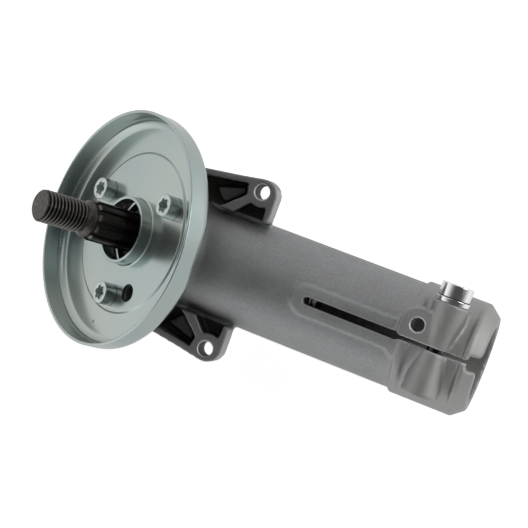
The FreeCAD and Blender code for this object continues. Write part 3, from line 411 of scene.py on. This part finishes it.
# %% Screws with a six-lobe recess
def screw_grid(shank_r, length, head_r, head_height, soft=0.35, columns=96):
    """Local (x, y, z) grid of a screw whose head stands on height 0.

    Each row is a circle or the lobed curve head_r * (0.55 + 0.08 cos 6 theta), at its own height.
    """
    t = circle(columns)
    lobes = head_r * (0.55 + 0.08 * np.cos(6 * t))
    arc = np.linspace(0.0, np.pi / 2, 6)
    rows = [(0.0, -length), (shank_r - 0.5, -length), (shank_r, 0.5 - length), (shank_r, 0.0)]
    rows += [(head_r - 0.25, 0.0), (head_r, 0.25)]
    rows += [(head_r - soft * (1 - math.cos(a)), head_height - soft * (1 - math.sin(a))) for a in arc]
    rings = [np.full(columns, r) for r, _ in rows]
    levels = [z for _, z in rows]
    for grow, drop in ((1.1, 0.0), (1.06, 0.03), (1.0, 0.28), (0.99, 0.5), (0.97, head_height * 0.5 - 0.15),
                       (0.9, head_height * 0.5), (0.0, head_height * 0.5 + 0.1)):
        rings.append(lobes * grow)
        levels.append(head_height - drop)
    r = np.array(rings)
    z = np.array(levels)[:, None] + 0 * r
    return np.stack([r * np.cos(t), r * np.sin(t), z], -1)


for name, angle in zip(("dish_screw_a", "dish_screw_b", "dish_screw_c"), SCREW_ANGLES):
    local = screw_grid(shank_r=2.5, length=10.0, head_r=4.25, head_height=5.0)
    x, y = polar(SCREW_CIRCLE, angle)
    grid = on_shaft(local[..., 0] + x, local[..., 1] + y, local[..., 2] + DISH_LEVEL + DISC_RAISE)
    piece_from(closed_grid(name + "_finished", grid), "housing", [name], "zinc_screws", 32.0)

# %% [markdown]
# The clamp bolt pulls the split clamp together round the drive tube. It is the same kind of screw as those of
# the dish, only larger, so the same function makes it, and its grid is turned to lie across the clamp.

# %% Clamp bolt
BOLT_X, BOLT_Z, SEAT_Y, WASHER = -16.2, 17.8, 17.4, 1.9
local = screw_grid(shank_r=3.0, length=30.0, head_r=5.9, head_height=5.0, soft=0.3, columns=144)
bolt_grid = np.stack([local[..., 0] + BOLT_X, local[..., 2] + SEAT_Y + WASHER, BOLT_Z - local[..., 1]], -1)
piece_from(closed_grid("clamp_bolt_finished", bolt_grid), "housing", ["clamp_bolt"], "bright_bolt", 32.0)

# %% [markdown]
# The washer under the clamp bolt is a thick turned ring with softly broken edges, so its profile closes on
# itself and the grid joins up both ways.

# %% Washer of the clamp bolt
INNER_R, OUTER_R = 3.2, 6.4
ring_profile = rounded([(INNER_R, 0.0, 0.25), (OUTER_R, 0.0, 0.3), (OUTER_R, WASHER, 0.3),
                        (INNER_R, WASHER, 0.25)], 5)
t = circle(144)[None, :]
r, h = ring_profile[:, :1], ring_profile[:, 1:]
washer_grid = np.stack([r * np.cos(t) + BOLT_X, h + SEAT_Y + 0 * t, BOLT_Z - r * np.sin(t)], -1)
piece_from(closed_grid("clamp_washer_finished", washer_grid, ring=True), "housing", ["clamp_washer"],
           "bright_bolt")

# %% [markdown]
# The housing is one aluminium die casting. Its solid has the true walls, pockets, bores and slot, but its
# corners are sharp, while molten metal leaves every outside corner soft. A bevel would fail where so many
# curved walls meet. So a copy of the solid is rebuilt as a fine even skin, whose points can be moved.

# %% Skin of the casting
VOXEL = 0.5
skin_mesh = nodes["gear_housing"].data.copy()
skin_mesh.name = "housing_casting"
merged = bmesh.new()
merged.from_mesh(skin_mesh)
bmesh.ops.remove_doubles(merged, verts=merged.verts, dist=1e-6)
merged.to_mesh(skin_mesh)
merged.free()
skin_mesh.materials.clear()
casting = bpy.data.objects.new("housing_casting", skin_mesh)
bpy.context.scene.collection.objects.link(casting)
even = casting.modifiers.new("even_skin", "REMESH")
even.mode = "VOXEL"
even.voxel_size = VOXEL / 1000.0
even.use_smooth_shade = True
bpy.context.view_layer.update()
skin = bpy.data.meshes.new_from_object(casting.evaluated_get(bpy.context.evaluated_depsgraph_get()))
casting.modifiers.clear()
print("even skin:", len(skin.vertices), "points")

# %% [markdown]
# Each point of the skin is drawn towards the mean of its neighbours. A weight says how far it follows: all
# the way on cast walls, and less where a tool has cut the metal, which is how the real corners differ. The
# bosses of the clamp and the feet of the ears flow into the tube, so those places get more rounds.

# %% Helper that softens corners
LOCATING = (-24.5, 6.4)


def drawn_to_neighbours(points, edges, weight, rounds):
    """Points after some rounds of p + pull * weight * (mean of neighbours - p).

    Every second round pushes back by a little less than the one before drew in, so that corners go round
    while walls keep their place.
    """
    ends = np.concatenate([edges[:, 0], edges[:, 1]])
    others = np.concatenate([edges[:, 1], edges[:, 0]])
    number = np.bincount(ends, minlength=len(points))[:, None]
    for pull in (0.55, -0.45) * (rounds // 2):
        total = np.stack([np.bincount(ends, points[others, k], len(points)) for k in range(3)], -1)
        points = points + pull * weight[:, None] * (total / number - points)
    return points


print("the locating hole is at", LOCATING)

# %% Soften the cast corners
points = np.empty(len(skin.vertices) * 3)
skin.vertices.foreach_get("co", points)
points = points.reshape(-1, 3)
edges = np.empty(len(skin.edges) * 2, dtype=np.int32)
skin.edges.foreach_get("vertices", edges)
edges = edges.reshape(-1, 2)
x, y, z = (points * 1000).T
from_axis, from_locating = np.hypot(y, z), np.hypot(x - LOCATING[0], y - LOCATING[1])
in_slot = (x > -68) & (x < -28) & (np.abs(y) < 2.2) & (z > 10)
on_seat = (np.abs(y - SEAT_Y) < 1.0) & (np.hypot(x - BOLT_X, z - BOLT_Z) < 7.2)
weight = np.ones(len(points))
for place, share in ((in_slot, 0.45), (x > -1.0, 0.5), (from_locating < 4.0, 0.3), (on_seat, 0.4),
                     (from_axis < 14.9, 0.2)):
    weight[place] = share
points = drawn_to_neighbours(points, edges, weight, 24)
bosses = (x > -27.0) & (x < -4.0) & (z > 5.0) & (from_axis > 17.0) & (np.abs(y) > 1.4)
bosses &= (from_locating > 7.5) & (np.abs(y - SEAT_Y) > 1.5)
ear_feet = (x > -100.0) & (x < -85.0) & (np.abs(y) > 16.0) & (np.abs(y) < 23.5) & (z > -4.0) & (z < 13.5)
points = drawn_to_neighbours(points, edges, np.where(bosses | ear_feet, 1.0, 0.0), 60)
print("softened", len(points), "points")

# %% [markdown]
# The larger pocket of each ear has a low raised field on its floor, with four straight sides. Its slope
# follows the distance to the nearest side, so the skin's points only need to be lifted.

# %% Raise the field in each ear
FIELD = np.array([(-116.2, 27.3), (-103.9, 31.2), (-102.9, 28.2), (-110.2, 21.7)])
FLOOR_LEVEL, FIELD_RISE, FIELD_SLOPE = 6.5, 2.4, 0.7
inside = np.full(len(points), np.inf)
for start, end in zip(FIELD, np.roll(FIELD, -1, axis=0)):
    run = (end - start) / np.linalg.norm(end - start)
    inside = np.minimum(inside, (x - start[0]) * run[1] - (np.abs(y) - start[1]) * run[0])
lift = FIELD_RISE * np.clip(inside / FIELD_SLOPE, 0.0, 1.0) * (np.abs(z - FLOOR_LEVEL) < 0.6)
points[:, 2] += lift / 1000.0
skin.vertices.foreach_set("co", points.ravel())
skin.update()
print("lifted", int((lift > 0).sum()), "points")

# %% [markdown]
# The skin now has far more faces than its flat walls need. Decimate takes them away where they bend least,
# down to a number that a printed copy can still use.

# %% Thin the skin
MOST_TRIANGLES = 190000
casting.data = skin
thin = casting.modifiers.new("thin", "DECIMATE")
thin.ratio = min(1.0, MOST_TRIANGLES / sum(len(p.vertices) - 2 for p in skin.polygons))
bpy.context.view_layer.update()
final = bpy.data.meshes.new_from_object(casting.evaluated_get(bpy.context.evaluated_depsgraph_get()))
bpy.data.objects.remove(casting)
final.name = "housing_casting"
piece_from(final, "housing", ["gear_housing"], "cast_aluminium", 60.0)

# %% [markdown]
# Finishes come from a few numbers set on one shader, plus a fine pattern where the real surface has one. The
# patterns read Object coordinates, so they stay on the metal from every side. These helpers make the shader,
# a noise, a number or a colour that follows the noise, and a fine relief.

# %% Helpers for finishes
finishes = {}


def finish(name, color, metallic, roughness):
    """Node tree and Principled shader of a material; the solid model brings an empty one under most names."""
    material = bpy.data.materials.get(name) or bpy.data.materials.new(name)
    material.use_nodes = True
    tree = material.node_tree
    tree.nodes.clear()
    shader = tree.nodes.new("ShaderNodeBsdfPrincipled")
    out = tree.nodes.new("ShaderNodeOutputMaterial")
    tree.links.new(shader.outputs["BSDF"], out.inputs["Surface"])
    finishes[name] = material
    shader.inputs["Base Color"].default_value = (*color, 1.0)
    shader.inputs["Metallic"].default_value = metallic
    shader.inputs["Roughness"].default_value = roughness
    return tree, shader


def noise(tree, scale, detail):
    """Noise on Object coordinates, with spots about 1 / scale metres wide."""
    place = tree.nodes.new("ShaderNodeTexCoord")
    node = tree.nodes.new("ShaderNodeTexNoise")
    node.inputs["Scale"].default_value = scale
    node.inputs["Detail"].default_value = detail
    tree.links.new(place.outputs["Object"], node.inputs["Vector"])
    return node.outputs["Fac"]


def vary(tree, factor, low, high):
    """Number from low to high that follows a factor between 0.3 and 0.7."""
    node = tree.nodes.new("ShaderNodeMapRange")
    node.inputs["From Min"].default_value = 0.3
    node.inputs["From Max"].default_value = 0.7
    node.inputs["To Min"].default_value = low
    node.inputs["To Max"].default_value = high
    tree.links.new(factor, node.inputs["Value"])
    return node.outputs["Result"]


def tint(tree, factor, dark, light):
    """Colour between two others that follows a factor between 0.3 and 0.7."""
    node = tree.nodes.new("ShaderNodeValToRGB")
    for element, position, color in zip(node.color_ramp.elements, (0.3, 0.7), (dark, light)):
        element.position = position
        element.color = (*color, 1.0)
    tree.links.new(factor, node.inputs["Fac"])
    return node.outputs["Color"]


def bump(tree, shader, height, strength, distance):
    """Small relief that follows a height, with its distance in metres."""
    node = tree.nodes.new("ShaderNodeBump")
    node.inputs["Strength"].default_value = strength
    node.inputs["Distance"].default_value = distance
    tree.links.new(height, node.inputs["Height"])
    tree.links.new(node.outputs["Normal"], shader.inputs["Normal"])


print("helpers for finishes:", [f.__name__ for f in (finish, noise, vary, tint, bump)])

# %% [markdown]
# Worn edges, dark pockets and bright cut rings each have their place on the metal. An image could paint them,
# but a mask worked out from the place needs no picture. It is a product of soft ramps, in millimetres, along
# the axes or with a distance. Squared distances are used as they are, which saves a root.


# %% Helpers for masks
def place_in_mm(tree):
    """Object coordinates in millimetres, as one vector."""
    place = tree.nodes.new("ShaderNodeTexCoord")
    larger = tree.nodes.new("ShaderNodeVectorMath")
    larger.operation = "SCALE"
    larger.inputs["Scale"].default_value = 1000.0
    tree.links.new(place.outputs["Object"], larger.inputs[0])
    return larger.outputs["Vector"]


def axes_of(tree, vector):
    """The three parts of a vector: x, y and z."""
    axes = tree.nodes.new("ShaderNodeSeparateXYZ")
    tree.links.new(vector, axes.inputs["Vector"])
    return axes.outputs["X"], axes.outputs["Y"], axes.outputs["Z"]


def from_fixed(tree, operation, vector, fixed):
    """Number worked out from a vector and a fixed one: DISTANCE between them or their DOT_PRODUCT."""
    node = tree.nodes.new("ShaderNodeVectorMath")
    node.operation = operation
    tree.links.new(vector, node.inputs[0])
    node.inputs[1].default_value = fixed
    return node.outputs["Value"]


def joined_by(tree, operation, *values):
    """Result of one operation carried through several values, from the first on."""
    total = values[0]
    for value in values[1:]:
        node = tree.nodes.new("ShaderNodeMath")
        node.operation = operation
        for socket, given in zip(node.inputs, (total, value)):
            if isinstance(given, float):
                socket.default_value = given
            else:
                tree.links.new(given, socket)
        total = node.outputs["Value"]
    return total


def squared_distance(tree, x, x_at, y, y_at):
    """(x - x_at) squared plus (y - y_at) squared."""
    x = joined_by(tree, "POWER", joined_by(tree, "SUBTRACT", x, x_at), 2.0)
    y = joined_by(tree, "POWER", joined_by(tree, "SUBTRACT", y, y_at), 2.0)
    return joined_by(tree, "ADD", x, y)


def ramp(tree, value, start, end):
    """Soft ramp from 0 at start to 1 at end; start may be the larger one."""
    node = tree.nodes.new("ShaderNodeMapRange")
    node.interpolation_type = "SMOOTHSTEP"
    node.inputs["From Min"].default_value = min(start, end)
    node.inputs["From Max"].default_value = max(start, end)
    node.inputs["To Min"].default_value = float(start > end)
    node.inputs["To Max"].default_value = float(start < end)
    tree.links.new(value, node.inputs["Value"])
    return node.outputs["Result"]


def mask(tree, *ramps):
    """Product of soft ramps, each given as (value, where it is 0, where it is 1)."""
    return joined_by(tree, "MULTIPLY", *[ramp(tree, *one) for one in ramps])


def painted(tree, base, *layers):
    """Base colour with layers of (mask, colour) laid over it in turn.

    A Mix node keeps its colours in the inputs 6 and 7 and gives the result at output 2.
    """
    for cover, color in layers:
        node = tree.nodes.new("ShaderNodeMix")
        node.data_type = "RGBA"
        tree.links.new(cover, node.inputs["Factor"])
        if isinstance(base, tuple):
            node.inputs[6].default_value = (*base, 1.0)
        else:
            tree.links.new(base, node.inputs[6])
        node.inputs[7].default_value = (*color, 1.0)
        base = node.outputs[2]
    return base


print("helpers for masks:", [f.__name__ for f in (place_in_mm, axes_of, from_fixed, mask, painted)])

# %% [markdown]
# The mould leaves the aluminium a dull grey with a sandy grain and slow clouds of darker metal. A photo of
# such metal would repeat, so noises of four sizes are used: the slow one for the sheen, two for the tint and
# the two others for a fine relief.

# %% Cast aluminium
tree, shader = finish("cast_aluminium", (0.40, 0.405, 0.41), 0.8, 0.55)
cloud = noise(tree, 90.0, 4.0)
mottle = joined_by(tree, "ADD", joined_by(tree, "MULTIPLY", cloud, 0.5),
                   joined_by(tree, "MULTIPLY", noise(tree, 1100.0, 2.0), 0.5))
metal = tint(tree, mottle, (0.28, 0.283, 0.287), (0.39, 0.395, 0.402))
relief = joined_by(tree, "ADD", noise(tree, 2600.0, 3.0),
                   joined_by(tree, "MULTIPLY", noise(tree, 420.0, 3.0), 2.5))
bump(tree, shader, relief, 0.5, 0.0001)
tree.links.new(vary(tree, cloud, 0.52, 0.62), shader.inputs["Roughness"])
print("cast aluminium has", len(tree.nodes), "nodes so far")

# %% [markdown]
# The casting isn't the same grey all over. It is lighter near the clamp, and painted shade darkens the head
# next to the dish, most on its upper side. Both change slowly, so one wide ramp along each axis is enough.

# %% Lighter clamp and painted shade on the head
along, side, height = axes_of(tree, place_in_mm(tree))
near_clamp = joined_by(tree, "MULTIPLY", ramp(tree, along, -36.0, -24.0), 0.7)
# painted shade on the head next to the dish, deeper towards the top
painted_head_shade = mask(tree, (along, -94.0, -116.0), (height, -2.0, 10.0))
metal = painted(tree, metal, (near_clamp, (0.40, 0.40, 0.388)), (painted_head_shade, (0.20, 0.20, 0.20)))
print("cast aluminium has", len(tree.nodes), "nodes so far")

# %% [markdown]
# The two ears mirror each other, so their masks use the distance from the middle plane. Their side walls get
# painted light, their faces a grey painted shade and their pockets and bores a dark painted shade, and round
# each hole runs a bright broken edge. The raised field in the pocket gets a lighter painted shade than the
# rest of the pocket, and is told from its walls by the normal, because only the field faces up.

# %% Ears
EAR_HOLE = (-96.67, 31.05)
EAR_TILT = 0.16
mirror = tree.nodes.new("ShaderNodeMath")
mirror.operation = "ABSOLUTE"
tree.links.new(side, mirror.inputs[0])
across = mirror.outputs["Value"]
facing_up = axes_of(tree, tree.nodes.new("ShaderNodeTexCoord").outputs["Normal"])[2]
slant = joined_by(tree, "SUBTRACT", across, joined_by(tree, "MULTIPLY", along, EAR_TILT))
from_hole = squared_distance(tree, along, EAR_HOLE[0], across, EAR_HOLE[1])
# painted light on the ears' side walls
ear_side_painted_light = mask(tree, (along, -92.5, -91.5), (across, 20.5, 22.0), (along, -80.0, -82.0))
# painted shade on the ears' upward faces
ear_face_painted_shade = mask(tree, (along, -88.0, -92.0), (height, 11.8, 12.6), (across, 19.5, 22.5))
# painted shade in the ears' pockets
pocket = mask(tree, (height, 12.4, 11.6), (height, 5.4, 5.8), (along, -93.0, -93.4), (slant, 49.1, 48.7),
              (across, 20.3, 21.3), (from_hole, 4.0 ** 2, 4.5 ** 2))
# lighter painted shade on the raised field, which stands higher in the pocket
field = joined_by(tree, "MULTIPLY", pocket,
                  mask(tree, (height, 7.8, 8.6), (height, 10.2, 9.6), (facing_up, 0.7, 0.9)))
# painted shade in the ears' bores
ear_bore_painted_shade = mask(tree, (from_hole, 3.1 ** 2, 2.9 ** 2), (height, 12.6, 12.2), (height, 4.0, 5.0))
ear_edge = mask(tree, (from_hole, 3.3 ** 2, 3.1 ** 2), (height, 12.1, 12.6))
metal = painted(tree, metal, (ear_side_painted_light, (0.5, 0.5, 0.5)), (ear_face_painted_shade, (0.26, 0.26, 0.256)),
                (pocket, (0.04, 0.037, 0.034)), (field, (0.115, 0.115, 0.108)),
                (ear_bore_painted_shade, (0.09, 0.082, 0.074)), (ear_edge, (0.7, 0.7, 0.69)))
print("cast aluminium has", len(tree.nodes), "nodes so far")

# %% [markdown]
# A tool has cut a ring round the locating hole and has opened the clamp with a narrow slit, and cut metal is
# brighter than cast metal. The slit's walls are made brighter still with painted light, as they lie in shade.
# The slot behind the slit is as cast, and little light gets into it, so it gets a dark painted shade.

# %% Cut ring, slot and slit
around = squared_distance(tree, along, LOCATING[0], side, LOCATING[1])
cut_ring = mask(tree, (around, 2.95 ** 2, 2.80 ** 2), (around, 2.3 ** 2, 2.45 ** 2), (height, 21.6, 21.9))
# painted shade in the slot, where little light gets in
slot = mask(tree, (across, 1.9, 1.6), (height, 19.8, 19.0), (height, 12.0, 12.5), (along, -67.5, -67.0),
            (along, -28.5, -30.0))
# the slit's walls: bright cut metal, and painted light on walls that lie in shade
slit = mask(tree, (across, 1.1, 0.9), (height, 13.5, 14.5), (along, -30.0, -29.0))
metal = painted(tree, metal, (cut_ring, (0.75, 0.76, 0.76)), (slot, (0.12, 0.12, 0.12)),
                (slit, (0.85, 0.85, 0.84)))
tree.links.new(metal, shader.inputs["Base Color"])
print("cast aluminium has", len(tree.nodes), "nodes")

# %% [markdown]
# The dish is bright zinc with a clear, faintly green layer over it. Such plating is even, so a very slow
# noise moves its tint a little and a second one its gloss. Two small dimples in the flat band get painted
# shade, a dark spot each, which is a ball round a point of the band.

# %% Zinc on the dish
MARK_RADIUS, MARK_ANGLES = 37.3, (-97.0, -55.0)
tree, shader = finish("zinc_sheet", (0.47, 0.55, 0.54), 0.9, 0.2)
tree.links.new(vary(tree, noise(tree, 60.0, 2.0), 0.2, 0.23), shader.inputs["Roughness"])
plating = tint(tree, noise(tree, 30.0, 1.0), (0.385, 0.468, 0.464), (0.465, 0.50, 0.468))
turn = np.radians(MARK_ANGLES)
for mark in on_shaft(MARK_RADIUS * np.cos(turn), MARK_RADIUS * np.sin(turn), DISH_LEVEL):
    # painted shade of a small dimple in the flat band
    dimple_painted_shade = mask(tree, (from_fixed(tree, "DISTANCE", place_in_mm(tree), mark), 0.8, 0.3))
    plating = painted(tree, plating, (dimple_painted_shade, (0.16, 0.16, 0.15)))
tree.links.new(plating, shader.inputs["Base Color"])
print("zinc on the dish has", len(tree.nodes), "nodes")

# %% [markdown]
# The clamp bolt and its washer are polished, and mirror the room almost whole. Between them and under the
# washer runs a thin dark line where no light gets in. The gaps are too fine to model, so the line is a mask
# on the height above the bolt's seat.

# %% Bright bolt and washer
BRIGHT, SHADE = (0.86, 0.87, 0.87), (0.05, 0.05, 0.05)
JOINT_Y = SEAT_Y + WASHER
tree, shader = finish("bright_bolt", BRIGHT, 1.0, 0.13)
reach = axes_of(tree, place_in_mm(tree))[1]
joint = mask(tree, (reach, JOINT_Y - 0.18, JOINT_Y - 0.10), (reach, JOINT_Y + 0.18, JOINT_Y + 0.10))
foot = ramp(tree, reach, SEAT_Y + 0.2, SEAT_Y + 0.1)
shaded = joined_by(tree, "ADD", joint, foot)
tree.links.new(painted(tree, BRIGHT, (shaded, SHADE)), shader.inputs["Base Color"])
print("bright bolt has", len(tree.nodes), "nodes")

# %% [markdown]
# The output shaft is phosphated, a dark layer. The thread's crests are lighter grey, and painted shade makes
# its valleys black and the splined part darker. Two numbers tell every point's place on the shaft: how far up
# it stands from the crossing point, and how far it is from the axis. The square of the second is the distance
# to the crossing point squared, less the height squared.

# %% Phosphated shaft
tree, shader = finish("phosphated_steel", (0.08, 0.07, 0.066), 0.75, 0.3)
speckle = tint(tree, noise(tree, 900.0, 3.0), (0.06, 0.054, 0.051), (0.11, 0.10, 0.096))
spot = place_in_mm(tree)
above = joined_by(tree, "ADD", from_fixed(tree, "DOT_PRODUCT", spot, N), -float(CROSSING @ N))
off_axis = joined_by(tree, "SUBTRACT",
                     joined_by(tree, "POWER", from_fixed(tree, "DISTANCE", spot, CROSSING), 2.0),
                     joined_by(tree, "POWER", above, 2.0))
thread_ends = (above, 46.4, 46.8), (above, 63.4, 63.0)
crest = mask(tree, (off_axis, 5.6 ** 2, 5.9 ** 2), *thread_ends)
# painted shade in the thread's valleys
valley_painted_shade = mask(tree, (off_axis, 5.8 ** 2, 5.4 ** 2), *thread_ends)
# painted shade over the splined part
spline_painted_shade = ramp(tree, above, 44.5, 42.5)
spline_end = mask(tree, (above, 41.3, 41.6), (above, 42.5, 42.2), (off_axis, 6.8 ** 2, 7.0 ** 2))
tone_wear_and_shade = painted(tree, speckle, (crest, (0.15, 0.142, 0.136)), (valley_painted_shade, (0.012, 0.011, 0.01)),
               (spline_painted_shade, (0.035, 0.03, 0.028)), (spline_end, (0.15, 0.135, 0.115)))
tree.links.new(tone_wear_and_shade, shader.inputs["Base Color"])
print("phosphated shaft has", len(tree.nodes), "nodes")

# %% [markdown]
# The dish screws and the pieces inside the head are plain metal, rubber or fibre. A colour, how metallic it
# is and how rough it is are all they need.

# %% Plain finishes
PLAIN = {"zinc_screws": ((0.52, 0.57, 0.56), 0.85, 0.17), "gear_steel": ((0.33, 0.33, 0.34), 1.0, 0.32),
         "bearing_steel": ((0.6, 0.61, 0.62), 1.0, 0.16), "cage_steel": ((0.45, 0.45, 0.45), 1.0, 0.35),
         "seal_rubber": ((0.02, 0.02, 0.02), 0.0, 0.5), "spring_steel": ((0.12, 0.12, 0.125), 0.9, 0.35),
         "plug_steel": ((0.5, 0.53, 0.52), 1.0, 0.28), "fibre": ((0.28, 0.13, 0.07), 0.0, 0.8)}
for name, numbers in PLAIN.items():
    finish(name, *numbers)
print("finishes:", sorted(finishes))

# %% [markdown]
# The record names one finish for each node. A node that still shows takes the material of that name, and a
# finished piece takes the one of the slot it was given.

# %% Give every piece its finish
slots = {part["node"]: part["material_slot"] for part in frame["record"]["subparts"]}
for name, node in nodes.items():
    node.data.materials.clear()
    node.data.materials.append(finishes[slots[name]])
for piece in bpy.context.scene.objects:
    if "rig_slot" in piece:
        piece.data.materials.clear()
        piece.data.materials.append(finishes[piece["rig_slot"]])

# %% [markdown]
# Bare metal shows what is around it, so the room matters more than the lamps. The room here is a smooth
# dome that is bright near the horizon and dim overhead, where the camera stands. The dark part leans a little
# towards +x, so that metal facing -x mirrors a brighter room, and the -y side is brighter than the +y side.

# %% Room
LEAN, SIDE_LEVELS = 0.35, (1.4, 0.76)
HEIGHT_LEVELS = [(0.0, 0.95), (0.12, 0.95), (0.4, 0.78), (0.65, 0.3), (0.85, 0.1), (1.0, 0.06)]
world = bpy.data.worlds.new("studio_room")
bpy.context.scene.world = world
world.use_nodes = True
tree = world.node_tree
tree.nodes.clear()
towards_x, towards_y, towards_z = axes_of(tree, tree.nodes.new("ShaderNodeTexCoord").outputs["Generated"])
dome = tree.nodes.new("ShaderNodeValToRGB")
dome.color_ramp.interpolation = "B_SPLINE"
while len(dome.color_ramp.elements) < len(HEIGHT_LEVELS):
    dome.color_ramp.elements.new(0.5)
for element, (place, level) in zip(dome.color_ramp.elements, HEIGHT_LEVELS):
    element.position = place
    element.color = (level, level, level, 1.0)
leaning = joined_by(tree, "ADD", towards_z, joined_by(tree, "MULTIPLY", towards_x, LEAN))
tree.links.new(leaning, dome.inputs["Fac"])
over_sides = tree.nodes.new("ShaderNodeMapRange")
over_sides.inputs["From Min"].default_value = -1.0
over_sides.inputs["From Max"].default_value = 1.0
over_sides.inputs["To Min"].default_value = SIDE_LEVELS[0]
over_sides.inputs["To Max"].default_value = SIDE_LEVELS[1]
tree.links.new(towards_y, over_sides.inputs["Value"])
room = tree.nodes.new("ShaderNodeBackground")
tree.links.new(dome.outputs["Color"], room.inputs["Color"])
tree.links.new(over_sides.outputs["Result"], room.inputs["Strength"])
print("the room has", len(HEIGHT_LEVELS), "levels from the horizon to overhead")

# %% [markdown]
# The photo's background is white, while the metal must mirror the dome. A Light Path node tells the camera's
# own rays from mirrored ones, so a Mix Shader can show plain white to the first and the dome to the others.


# %% White behind the object
def mix_shaders(tree, share, first, second, out):
    """Mix Shader node that goes from the first shader to the second with a share, linked to an output."""
    node = tree.nodes.new("ShaderNodeMixShader")
    tree.links.new(share, node.inputs["Fac"])
    tree.links.new(first, node.inputs[1])
    tree.links.new(second, node.inputs[2])
    tree.links.new(node.outputs["Shader"], out.inputs["Surface"])


backdrop = tree.nodes.new("ShaderNodeBackground")
backdrop.inputs["Color"].default_value = (1.0, 1.0, 1.0, 1.0)
path = tree.nodes.new("ShaderNodeLightPath")
mix_shaders(tree, path.outputs["Is Camera Ray"], room.outputs["Background"], backdrop.outputs["Background"],
            tree.nodes.new("ShaderNodeOutputWorld"))
print("world has", len(tree.nodes), "nodes")

# %% [markdown]
# The floor is pale and takes the soft shadow. It glows a little, all of the glow for the camera and half of
# it for mirrored rays, so it looks as white as the backdrop without lighting the metal from below.

# %% Floor
FLOOR_Z, FLOOR_REACH, FLOOR_GLOW = -43.0, 1500.0, 0.72
corner = np.array([(-1, -1), (1, -1), (1, 1), (-1, 1)]) * FLOOR_REACH
floor_mesh = mesh_from("floor", np.c_[corner, np.full(4, FLOOR_Z)], [0, 1, 2, 3], [4])
floor = bpy.data.objects.new("floor", floor_mesh)
bpy.context.scene.collection.objects.link(floor)
floor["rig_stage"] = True
tree, shader = finish("pale_floor", (0.8, 0.8, 0.8), 0.0, 0.9)
glow = tree.nodes.new("ShaderNodeEmission")
glow.inputs["Strength"].default_value = FLOOR_GLOW
both = tree.nodes.new("ShaderNodeAddShader")
tree.links.new(shader.outputs["BSDF"], both.inputs[0])
tree.links.new(glow.outputs["Emission"], both.inputs[1])
path = tree.nodes.new("ShaderNodeLightPath")
share = joined_by(tree, "ADD", path.outputs["Is Camera Ray"],
                  joined_by(tree, "MULTIPLY", path.outputs["Is Glossy Ray"], 0.5))
mix_shaders(tree, share, shader.outputs["BSDF"], both.outputs["Shader"], tree.nodes["Material Output"])
floor_mesh.materials.append(finishes["pale_floor"])
print("floor at", FLOOR_Z, "mm")

# %% [markdown]
# One large soft lamp on the right gives the rims and the bright bolt their long highlights. A dim one above
# lights the left wall and the bend of the dish, which would otherwise mirror only the dark upper room.


# %% Lamps
def soft_lamp(name, place, target, size, power):
    """Square area lamp in millimetres and watts, turned to face a point."""
    lamp = bpy.data.lights.new(name, "AREA")
    lamp.size = size / 1000.0
    lamp.energy = power
    holder = bpy.data.objects.new(name, lamp)
    holder.location = Vector(place) / 1000.0
    facing = (Vector(target) - Vector(place)).normalized()
    holder.rotation_euler = facing.to_track_quat("-Z", "Y").to_euler()
    bpy.context.scene.collection.objects.link(holder)


soft_lamp("lamp_right", (420.0, 300.0, 260.0), (-60.0, 40.0, 0.0), 360.0, 1.4)
soft_lamp("lamp_above", (-140.0, 310.0, 420.0), (-100.0, 0.0, 20.0), 260.0, 0.12)

# %% [markdown]
# The camera stands almost straight above the object, a little towards the clamp, and is turned so that the
# tube runs down to the right. Its place and turn were worked out from the circles of the dish and shaft.

# %% Camera
PLACE, FOCAL_PIXELS, PHOTO_PIXELS = Vector((35.5, 37.8, 494.0)), 1348.0, 528.0
right = Vector((0.9047, 0.3435, -0.2521))
up = Vector((-0.3482, 0.9370, 0.0272))
ahead = Vector((-0.2455, -0.0632, -0.9673))
lens = bpy.data.cameras.new("camera")
lens.sensor_width = 36.0
lens.lens = FOCAL_PIXELS / PHOTO_PIXELS * lens.sensor_width
lens.clip_start = 0.01
camera = bpy.data.objects.new("camera", lens)
turn = Matrix((right.normalized(), up.normalized(), -ahead.normalized())).transposed()
camera.matrix_world = Matrix.Translation(PLACE / 1000.0) @ turn.to_4x4()
bpy.context.scene.collection.objects.link(camera)
bpy.context.scene.camera = camera
bpy.context.scene.view_settings.view_transform = "Standard"
print("lens", round(lens.lens, 2), "mm")

# %% [markdown]
# Last, the box of the dressed object is found and kept beside that of the solid model.

# %% Sizes
dressed_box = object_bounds()
boxes = {"cad": solid_box, "visual": dressed_box}
sizes = {name: [[float(value) for value in corner] for corner in box] for name, box in boxes.items()}
print("dressed box in metres", dressed_box)
